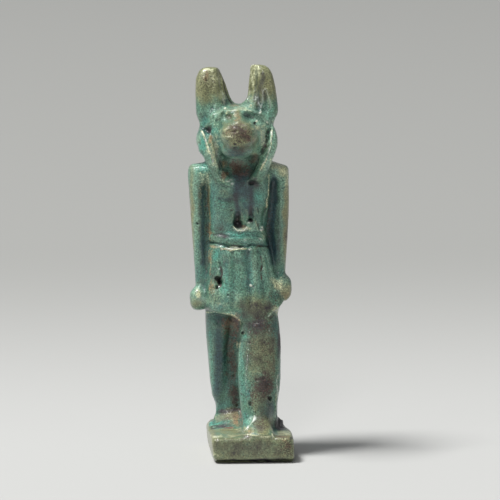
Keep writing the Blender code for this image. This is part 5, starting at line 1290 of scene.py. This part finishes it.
def open_under_hem(skin):
    """Set the surface under the kilt's left hem back to the depth of the leg and web below."""
    back = np.array(picture_axes()[2])
    across, up = seen(skin.places)
    depth = depths(skin.places)
    low, high = LEG_STRIP
    start, end = HEM_LINE[0][0], HEM_LINE[-1][0]
    inside = (skin.facing() @ back > HEM_FACING) & (up > low) & (up < high)
    slots = np.arange(start, end, HEM_STEP)
    deep = np.array([depth[inside & (abs(across - slot) < HEM_WINDOW)].max() for slot in slots])
    line_across, line_up = zip(*HEM_LINE)
    under = np.interp(across, line_across, line_up) - up
    along = np.clip((end - across) / HEM_STEP, 0, 1) * (across > start)
    share = np.clip(under / HEM_EDGE, 0, 1) * (up > low) * along
    set_back = np.maximum(depth - np.interp(across, slots, deep), 0)
    skin.places -= back * (set_back * share * MM)[:, None]


def settle(skin, rows, lift, press):
    """Bring the surface that faces the viewer to depths given point by point along rows.

    Each row is its height and its points (across, depth), with as many points in every row. Only
    what lies deeper is lifted and only what stands prouder is pressed, as the flags say.
    """
    back = np.array(picture_axes()[2])
    across, up = seen(skin.places)
    depth = depths(skin.places)
    moved = np.zeros(skin.count)
    for (high, upper), (low, lower) in zip(rows, rows[1:]):
        share = (high - up) / (high - low)
        band = (share >= 0) & (share < 1)
        corners = zip(upper, upper[1:], lower, lower[1:])
        for upper_left, upper_right, lower_left, lower_right in corners:
            left, left_depth = between(upper_left, lower_left, share)
            right, right_depth = between(upper_right, lower_right, share)
            run = (across - left) / (right - left)
            inside = band & (run >= 0) & (run < 1)
            wanted = left_depth + (right_depth - left_depth) * run - depth
            moved[inside] = wanted[inside]
    moved = np.clip(moved, -MOST_MOVED if press else 0.0, MOST_MOVED if lift else 0.0)
    moved[depth < moved_floor(rows)] = 0
    toward = toward_viewer(skin.facing(), *SETTLED_FACING)
    skin.places += back * (moved * toward * MM)[:, None]


def between(one, other, share):
    """The two values of a point some way from one point to another."""
    return tuple(start + (end - start) * share for start, end in zip(one, other))


def moved_floor(rows):
    """A depth that lies safely behind every point of the rows, in front of the figure's back."""
    return min(depth for _, points in rows for _, depth in points) - SETTLE_REACH


def nudge(skin, shifts):
    """Shift soft round patches of the whole figure a little across and up the picture plane."""
    right, level, _ = (np.array(way) for way in picture_axes())
    across, up = seen(skin.places)
    for *oval, by_across, by_up in shifts:
        share = falloff(from_middle(across, up, *oval), NUDGE_SPREAD)[:, None] * MM
        skin.places += share * (right * by_across + level * by_up)


def soften(skin, spots, rounds):
    """Melt the forms inside soft round patches of the front."""
    across, up = seen(skin.places)
    toward = toward_viewer(skin.facing(), *MELTED_FACING)
    share = patch(across, up, spots) * toward * MELTING_SHARE
    for _ in range(rounds):
        skin.drift(share)


def cut_details(skin):
    """Cut the strokes and hollows of the front into the skin."""
    back = np.array(picture_axes()[2])
    across, up = seen(skin.places)
    facing = skin.facing()
    front = toward_viewer(facing, *CUT_FACING)
    sunk = np.zeros(skin.count)
    line_across, line_up = wandering(skin.places, across, up, *STROKE_WANDER)
    for path, width, depth in HEAD_STROKES + TRUNK_STROKES + KILT_STROKES + FOOT_STROKES:
        sunk += depth * falloff(to_line(line_across, line_up, path), width)
    sunk *= 1 + STROKE_UNEVENNESS * ripple(skin.places, *STROKE_RIPPLE)
    skin.places -= facing * (sunk * front * MM)[:, None]
    across, up = wandering(skin.places, across, up, *PIT_WANDER)
    hole = np.zeros(skin.count)
    for *oval, depth in PITS:
        reach = from_middle(across, up, *oval)
        hole += depth * np.clip(PIT_BOWL - reach**2, 0, 1)
        hole -= RIM_HEIGHT * depth * falloff(reach - RIM_MIDDLE, RIM_WIDTH)
    skin.places -= back * (hole * front * MM)[:, None]


def wear_block(skin):
    """Lean the block's left side in towards its foot, and undercut its lower front edge."""
    low = np.array(CAD_BOX[0])
    height = skin.places[:, 2] - low[2]
    share = np.clip(1 - height / BLOCK_TOP, 0, 1)
    from_left = np.clip(1 - (skin.places[:, 0] - low[0]) / LEFT_REACH, 0, 1)
    skin.places[:, 0] += SIDE_LEAN * share * from_left
    from_front = np.clip(1 - (skin.places[:, 1] - low[1]) / FRONT_REACH, 0, 1)
    below = np.clip((UNDERCUT_HEIGHT - height) / UNDERCUT_SLOPE, 0, 1)
    skin.places[:, 1] += UNDERCUT * below * np.clip(from_front * 2, 0, 1)


def paint(mesh, name, values):
    """Store a value for every vertex."""
    layer = mesh.attributes.get(name) or mesh.attributes.new(name, "FLOAT", "POINT")
    layer.data.foreach_set("value", values.astype(np.float32))


def olive_all_round(skin):
    """The olive of the ears and of the block, which runs round to the back."""
    height = (skin.places[:, 2] - figure_middle().z) / MM
    start, length, most = EARS_OLIVE
    ears = np.clip((height - start) / length, 0, most)
    start, length, most = BLOCK_OLIVE
    return ears + np.clip((start - height) / length, 0, most)


def paint_patches(skin):
    """Paint patches, painted light and shade too, hollows and raised edges into attributes."""
    across, up = seen(skin.places)
    facing = skin.facing()
    front = toward_viewer(facing, *PATCH_FACING)
    highlight_front = toward_viewer(facing, *HIGHLIGHT_FACING)
    across, up = wandering(skin.places, across, up, *PATCH_WANDER)
    for name, spots in PATCHES.items():
        bare = 1 - patch(across, up, spots)
        for path, width, strength in LINES.get(name, ()):
            bare *= 1 - strength * falloff(to_line(across, up, path), width)
        # painted highlights and pale patches keep to points that face the viewer
        value = (1 - bare) * (highlight_front if name in ("painted_highlight", "pale") else front)
        if name == "olive":
            value = np.maximum(value, olive_all_round(skin))
        paint(skin.mesh, name, np.clip(value, 0, 1))
    for name, (rounds, full_rise) in CURVES.items():
        smooth = Skin(skin.mesh)
        for _ in range(rounds):
            smooth.drift(EASING_SHARE)
        rise = ((smooth.places - skin.places) * facing).sum(axis=1) / MM / full_rise
        paint(skin.mesh, name, np.clip(0.5 + 0.5 * rise, 0, 1))


def attribute(tree, name):
    """A value painted on the mesh."""
    return add_node(tree, "ShaderNodeAttribute", attribute_name=name).outputs["Fac"]


def noise(tree, place, scale, detail, roughness, warp=0.0):
    """Noise over the object's own millimetres."""
    inputs = {"Vector": place, "Scale": scale, "Detail": detail, "Roughness": roughness,
              "Distortion": warp}
    return add_node(tree, "ShaderNodeTexNoise", inputs).outputs[0]


def faience_material(look):
    """Blue-green glaze pooled in hollows, bare paste and grime where worn, painted light and shade."""
    material, tree, shader, local = new_material("glazed faience")
    place = vector_calc(tree, "SCALE", local, scale=1 / MM)

    broad = noise(tree, place, *BROAD)
    cloud = noise(tree, place, *CLOUD)
    fleck = noise(tree, place, *FLECK)
    speck = noise(tree, place, *SPECK)
    crease = attribute(tree, "crease")
    bend = attribute(tree, "bend")
    sunk = plus(tree, crease, times(tree, bend, BROAD_HOLLOWS))
    hollow = ramp(tree, sunk, *HOLLOW_BAND)
    raised = ramp(tree, crease, *RAISED_BAND)
    worn = attribute(tree, "worn")
    specks = attribute(tree, "specks")
    painted_highlight = attribute(tree, "painted_highlight")

    def stained(name, low, high, mottle=0.6):
        """A painted mask broken up by the mottling of the glaze."""
        mask = attribute(tree, name)
        broken = mask
        for uneven in (cloud, fleck):
            centred = calc(tree, "SUBTRACT", uneven, 0.5)
            broken = plus(tree, broken, times(tree, centred, mottle))
        return times(tree, ramp(tree, broken, low, high), ramp(tree, mask, *MASK_EDGE))

    spotted = plus(tree, noise(tree, place, *SPOTS), times(tree, specks, SPECK_SHARE))
    color = blended(tree, ramp(tree, broad, *BLUE_BAND), look.glaze_green, look.glaze_blue)
    # The light, blue, pale, brown and shade layers also hold painted light and shade
    for share, tint in (
            (ramp(tree, cloud, *LIGHT_BAND), look.light_glaze_and_painted_light),
            (stained("light", 0.0, 0.85), look.light_glaze_and_painted_light),
            (stained("turquoise", 0.0, 0.85), look.turquoise),
            (stained("blue", 0.0, 0.9), look.deep_blue_and_shade),
            (stained("olive", 0.0, 0.8), look.olive),
            (stained("buff", 0.1, 0.75, 1.1), look.paste),
            (times(tree, raised, EDGE_SHARE), look.worn_edge),
            (stained("ruddy", 0.1, 0.9, 1.2), look.ruddy),
            (stained("pale", 0.1, 0.8, 1.1), look.pale),
            (times(tree, hollow, POOLED_SHARE), look.pooled),
            (stained("brown", 0.1, 0.95, 1.3), look.dirt_and_shade),
            (stained("shade", 0.1, 0.85, 0.8), look.shade_paint),
            (ramp(tree, spotted, *SPOT_BAND), look.dirt_and_shade)):
        color = blended(tree, share, color, tint)
    grain = plus(tree, speck, times(tree, fleck, FINE_SHARE))
    shade = plus(tree, ramp(tree, grain, *DARK_GRAIN), ramp(tree, grain, *BRIGHT_GRAIN))
    even = calc(tree, "MULTIPLY_ADD", specks, -OLIVE_CALM, OLIVE_CALM)
    calm = times(tree, attribute(tree, "olive"), even)
    shade = plus(tree, times(tree, shade, calc(tree, "SUBTRACT", 1.0, calm)), calm)
    color = vector_calc(tree, "SCALE", color, scale=shade)
    pinholes = ramp(tree, attribute(tree, "pinhole"), *PINHOLE_BAND)
    color = blended(tree, pinholes, color, look.dirt_and_shade)
    # painted highlights, laid over all the rest
    color = blended(tree, painted_highlight, color, look.painted_highlight)
    tree.links.new(color, shader.inputs["Base Color"])

    bare = attribute(tree, "buff")
    for other in (times(tree, attribute(tree, "brown"), BARE_SHARE),
                  times(tree, worn, BARE_SHARE),
                  # places with strong painted shade are made matt
                  ramp(tree, attribute(tree, "shade"), *MATT_SHADE)):
        bare = calc(tree, "MAXIMUM", bare, other)
    rough = plus(tree, ramp(tree, fleck, *ROUGH_BAND), times(tree, bare, BARE_ROUGHER))
    # painted highlights are made glossier too
    smoother = times(tree, painted_highlight, HIGHLIGHT_SMOOTHER)
    tree.links.new(calc(tree, "SUBTRACT", rough, smoother, clamp=True), shader.inputs["Roughness"])
    coat_loss = times(tree, bare, BARE_COAT_LOSS)
    tree.links.new(calc(tree, "SUBTRACT", COAT, coat_loss, clamp=True),
                   shader.inputs["Coat Weight"])
    shader.inputs["Coat Roughness"].default_value = look.gloss
    shader.inputs["Coat IOR"].default_value = GLAZE_IOR

    relief = plus(tree, times(tree, speck, FINE_SHARE), fleck)
    relief = times(tree, relief, calc(tree, "MULTIPLY_ADD", worn, WORN_RELIEF, 1.0))
    bump = add_node(tree, "ShaderNodeBump", {"Height": relief, "Distance": look.relief,
                                             "Strength": BUMP_STRENGTH})
    tree.links.new(bump.outputs[0], shader.inputs["Normal"])
    return material


def floor_material(look):
    """Pale matt paper, with painted shade that darkens it softly away from the viewer."""
    material, tree, shader, local = new_material("pale paper")
    depth = add_node(tree, "ShaderNodeSeparateXYZ", {0: local}).outputs["Y"]
    share = ramp(tree, depth, look.fade_start, look.fade_end)
    color = blended(tree, share, look.floor_near, look.floor_far_shaded)
    tree.links.new(color, shader.inputs["Base Color"])
    shader.inputs["Roughness"].default_value = 0.85
    shader.inputs["Specular IOR Level"].default_value = 0.1
    return material


def close_mesh(thing, spacing):
    """The skin of an object, made anew as one close, even mesh."""
    melt = thing.modifiers.new("Close mesh", "REMESH")
    melt.mode = "VOXEL"
    melt.voxel_size = spacing
    return Skin(evaluated(thing).data)


def close_skin(settings):
    """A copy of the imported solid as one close, smooth mesh, with its surfaces set by depth."""
    mesh = bpy.data.meshes.new("amulet skin")
    bm = bmesh.new()
    bm.from_mesh(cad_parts[NODE].data)
    bmesh.ops.remove_doubles(bm, verts=bm.verts, dist=JOIN_DISTANCE)
    bm.to_mesh(mesh)
    bm.free()
    thing = add_object("faience_figure", mesh)
    rounder = thing.modifiers.new("Rounded facets", "SUBSURF")
    rounder.levels = 1
    rounder.render_levels = 1
    skin = close_mesh(thing, settings.voxel)
    open_under_hem(skin)
    for rows in LIFTED:
        settle(skin, rows, lift=True, press=False)
    for rows in SETTLED:
        settle(skin, rows, lift=True, press=True)
    nudge(skin, NUDGES)
    wear_block(skin)
    skin.write()
    skin = close_mesh(thing, settings.voxel)
    soften(skin, MELTED, settings.melting)
    skin.eased(settings.easing)
    skin.write()
    return thing


def keep_in_box(skin):
    """Keep the skin inside the solid's box, and its underside flat."""
    low, high = (np.array(corner) for corner in CAD_BOX)
    skin.places = np.clip(skin.places, low, high)
    flat = skin.places[:, 2] < UNDERSIDE_BAND
    skin.places[flat, 2] = 0.0


def length_property(name, description, default):
    """A length in metres."""
    return FloatProperty(name=name, description=description, default=default, min=0.0,
                         subtype="DISTANCE", unit="LENGTH")


def color_property(name, description, default):
    """A colour of the glaze."""
    return FloatVectorProperty(name=name, description=description, default=default, size=3,
                               min=0.0, max=2.0, subtype="COLOR")


class AMULET_PG_figure(bpy.types.PropertyGroup):
    """Sizes of the figure's skin and of its carving."""
    voxel: length_property("Mesh Spacing", "Spacing of the close mesh", 0.00011)
    easing: IntProperty(name="Easing", description="Rounds of smoothing of the close mesh",
                        default=10, min=0)
    melting: IntProperty(name="Melting", description="Rounds of melting where the glaze is thick",
                         default=40, min=0)
    triangles: IntProperty(name="Triangles", description="Most triangles in the finished skin",
                           default=196000, min=1000)
    pleat_depth: length_property("Pleat Depth", "Depth of the kilt's pleats", PLEAT_DEPTH)
    pleat_pitch: FloatProperty(name="Pleat Pitch", description="Angle from one pleat to the next",
                               default=PLEAT_PITCH, subtype="ANGLE")
    swell: length_property("Swell", "Height of the glaze's broad unevenness", SWELL)
    grain: length_property("Grain", "Height of the glaze's fine unevenness", GRAIN)
    pinhole: length_property("Pinhole", "Half width of the widest pinholes", PINHOLE)
    pinhole_depth: length_property("Pinhole Depth", "Depth of the pinholes", PINHOLE_DEPTH)
    pinhole_spacing: length_property("Pinhole Spacing", "Least gap between pinholes",
                                     PINHOLE_SPACING)


class AMULET_PG_glaze(bpy.types.PropertyGroup):
    """Colours and gloss of the glaze, the paste and the dirt."""
    glaze_green: color_property("Green", "The glaze where it is green", (0.088, 0.190, 0.125))
    glaze_blue: color_property("Blue-green", "The glaze where it is bluer", (0.062, 0.170, 0.138))
    # thin, light glaze, and painted light on faces that lie in shade
    light_glaze_and_painted_light: color_property("Light", "Thin, light glaze", (0.190, 0.340, 0.245))
    turquoise: color_property("Turquoise", "Bright turquoise glaze", (0.075, 0.290, 0.220))
    # deep blue glaze, and painted shade where the form lies in shade
    deep_blue_and_shade: color_property("Deep blue", "Thick, dark blue glaze", (0.022, 0.055, 0.068))
    olive: color_property("Olive", "Glaze that has turned olive", (0.205, 0.210, 0.102))
    paste: color_property("Paste", "Bare buff paste", (0.235, 0.182, 0.095))
    ruddy: color_property("Ruddy", "Bare paste burnt red", (0.300, 0.120, 0.085))
    worn_edge: color_property("Worn edge", "Glaze worn thin on edges", (0.260, 0.310, 0.190))
    # rubbed cream places, and painted highlights
    pale: color_property("Pale", "Rubbed_and_highlit, cream-coloured places", (0.530, 0.545, 0.335))
    # painted highlights: the colour of glints painted on edges, and of faint painted light
    painted_highlight: color_property("Gleam", "Bright highlights, gleams and faint brightening", (0.86, 0.90, 0.84))
    pooled: color_property("Pooled", "Glaze pooled in hollows", (0.015, 0.045, 0.042))
    # painted shade: the dark colour put where the form lies in shade
    shade_paint: color_property("Painted_Shade", "Dark places that hardly catch light", (0.024, 0.022, 0.024))
    # brown dirt, and painted shade in deep places; also the colour of specks and pinholes
    dirt_and_shade: color_property("Dirt_And_Shade", "Brown dirt in deep places", (0.060, 0.034, 0.024))
    gloss: FloatProperty(name="Gloss Spread", description="Roughness of the glaze's clear coat",
                         default=0.12, min=0.0, max=1.0)
    relief: length_property("Relief", "Height of the finest grain", 0.000045)


class AMULET_PG_stage(bpy.types.PropertyGroup):
    """The floor and the lights."""
    floor_near: color_property("Floor", "The floor under the amulet", (0.50, 0.50, 0.485))
    # the far floor is darker: painted shade where the light falls off
    floor_far_shaded: color_property("Far floor", "The floor far behind", (0.34, 0.34, 0.325))
    sky_low: color_property("Low Sky", "Light from near the horizon", (1.60, 1.62, 1.62))
    sky_high: color_property("High Sky", "Light from above", (0.80, 0.83, 0.87))
    fade_start: length_property("Fade Start", "Where the floor starts to darken", 0.0)
    fade_end: length_property("Fade End", "Where the floor is darkest", 0.165)
    key_power: FloatProperty(name="Key Power", description="Light from the upper left",
                             default=54.0, min=0.0, unit="POWER")
    fill_power: FloatProperty(name="Fill Power", description="Light from the front",
                              default=3.4, min=0.0, unit="POWER")
    edge_power: FloatProperty(name="Edge Power", description="Small low lights for the glints",
                              default=0.45, min=0.0, unit="POWER")
    ambient: FloatProperty(name="Ambient", description="Strength of the light from all round",
                           default=0.22, min=0.0)


class AMULET_OT_figure(bpy.types.Operator):
    """Make the figure's fine skin, carve it and glaze it"""
    bl_idname = "amulet.figure"
    bl_label = "Faience Figure"

    def execute(self, context):
        settings = context.scene.amulet_figure
        material = faience_material(context.scene.amulet_glaze)
        thing = close_skin(settings)
        middle = figure_middle()
        with_tree(thing, pleats_tree(), {
            "Middle": (middle.x + KILT_MIDDLE[0], middle.y + KILT_MIDDLE[1], middle.z),
            "Pitch": settings.pleat_pitch, "Depth": settings.pleat_depth, "Material": material})
        skin = Skin(thing.data)
        cut_details(skin)
        skin.eased(1)
        keep_in_box(skin)
        skin.write()
        front = toward_viewer(skin.facing(), *WORN_FACING)
        paint(thing.data, "worn", patch(*seen(skin.places), WORN) * front)
        with_tree(thing, skin_tree(), {
            "Swell": settings.swell, "Grain": settings.grain, "Spacing": settings.pinhole_spacing,
            "Pinhole": settings.pinhole, "Pinhole Depth": settings.pinhole_depth,
            "Material": material})
        thin = thing.modifiers.new("Fewer faces", "DECIMATE")
        found = sum(len(face.vertices) - 2 for face in thing.data.polygons)
        thin.ratio = min(1.0, settings.triangles / found)
        thin.use_collapse_triangulate = True
        evaluated(thing)
        skin = Skin(thing.data)
        keep_in_box(skin)
        paint_patches(skin)
        thing.data.materials.clear()
        thing.data.materials.append(material)
        thing.data.shade_smooth()
        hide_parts(NODE)
        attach(thing, BODY)
        return {"FINISHED"}


def area_light(name, azimuth, elevation, distance, size, power):
    """A soft light that looks at the figure's chest."""
    light = bpy.data.lights.new(name, "AREA")
    light.shape = "DISK"
    light.size = size
    light.energy = power
    lamp = add_object(name, light)
    away = picture_axes(math.radians(azimuth), math.radians(elevation))[2]
    lamp.location = Vector((0, 0, LIT_HEIGHT)) + away * distance
    lamp.rotation_euler = away.to_track_quat("Z", "Y").to_euler()


class AMULET_OT_stage(bpy.types.Operator):
    """Lay the floor, light the amulet and place the camera"""
    bl_idname = "amulet.stage"
    bl_label = "Stage"

    def execute(self, context):
        look = context.scene.amulet_stage
        bm = bmesh.new()
        bmesh.ops.create_grid(bm, x_segments=2, y_segments=2, size=FLOOR_REACH)
        mesh = bpy.data.meshes.new("floor")
        bm.to_mesh(mesh)
        bm.free()
        mesh.materials.append(floor_material(look))
        add_object("floor", mesh)
        area_light("key light", *KEY_LIGHT, look.key_power)
        area_light("front fill", *FRONT_FILL, look.fill_power)
        area_light("left edge light", *LEFT_EDGE, look.edge_power)
        area_light("right edge light", *RIGHT_EDGE, look.edge_power * RIGHT_EDGE_SHARE)
        world = bpy.data.worlds.new("soft studio")
        world.use_nodes = True
        tree = world.node_tree
        way = add_node(tree, "ShaderNodeTexCoord").outputs["Generated"]
        height = add_node(tree, "ShaderNodeSeparateXYZ", {0: way}).outputs["Z"]
        sky = blended(tree, ramp(tree, height, *SKY_BAND), look.sky_low, look.sky_high)
        background = tree.nodes["Background"]
        tree.links.new(sky, background.inputs["Color"])
        background.inputs["Strength"].default_value = look.ambient
        context.scene.world = world
        context.scene.view_settings.view_transform = "Standard"
        right, up, back = picture_axes()
        lens = bpy.data.cameras.new("camera")
        lens.sensor_width = SENSOR
        lens.lens = SENSOR * SIGHT_DISTANCE / PICTURE_WIDTH
        lens.clip_start = CLIP_START
        lens.clip_end = CLIP_END
        camera = add_object("camera", lens)
        camera.matrix_world = (Matrix.Translation(picture_target() + back * SIGHT_DISTANCE)
                               @ Matrix((right, up, back)).transposed().to_4x4())
        context.scene.camera = camera
        return {"FINISHED"}


class AMULET_PT_panel(bpy.types.Panel):
    """The amulet's sizes, colours and steps"""
    bl_idname = "AMULET_PT_panel"
    bl_label = "Faience Amulet"
    bl_space_type = "VIEW_3D"
    bl_region_type = "UI"
    bl_category = "Amulet"

    def draw(self, context):
        for group, operator in (("amulet_figure", "amulet.figure"), ("amulet_glaze", None),
                                ("amulet_stage", "amulet.stage")):
            box = self.layout.box()
            settings = getattr(context.scene, group)
            for name in settings.bl_rna.properties.keys():
                if name not in ("rna_type", "name"):
                    box.prop(settings, name)
            if operator:
                box.operator(operator)


CLASSES = (AMULET_PG_figure, AMULET_PG_glaze, AMULET_PG_stage, AMULET_OT_figure, AMULET_OT_stage,
           AMULET_PT_panel)


def register():
    """Add the classes and the scene's settings."""
    for made in CLASSES:
        bpy.utils.register_class(made)
    bpy.types.Scene.amulet_figure = PointerProperty(type=AMULET_PG_figure)
    bpy.types.Scene.amulet_glaze = PointerProperty(type=AMULET_PG_glaze)
    bpy.types.Scene.amulet_stage = PointerProperty(type=AMULET_PG_stage)


def unregister():
    """Take the classes and the scene's settings away."""
    del bpy.types.Scene.amulet_stage
    del bpy.types.Scene.amulet_glaze
    del bpy.types.Scene.amulet_figure
    for made in reversed(CLASSES):
        bpy.utils.unregister_class(made)


def main():
    """Make the figure and its stage."""
    register()
    bpy.ops.amulet.stage()
    bpy.ops.amulet.figure()


if __name__ == "__main__":
    main()
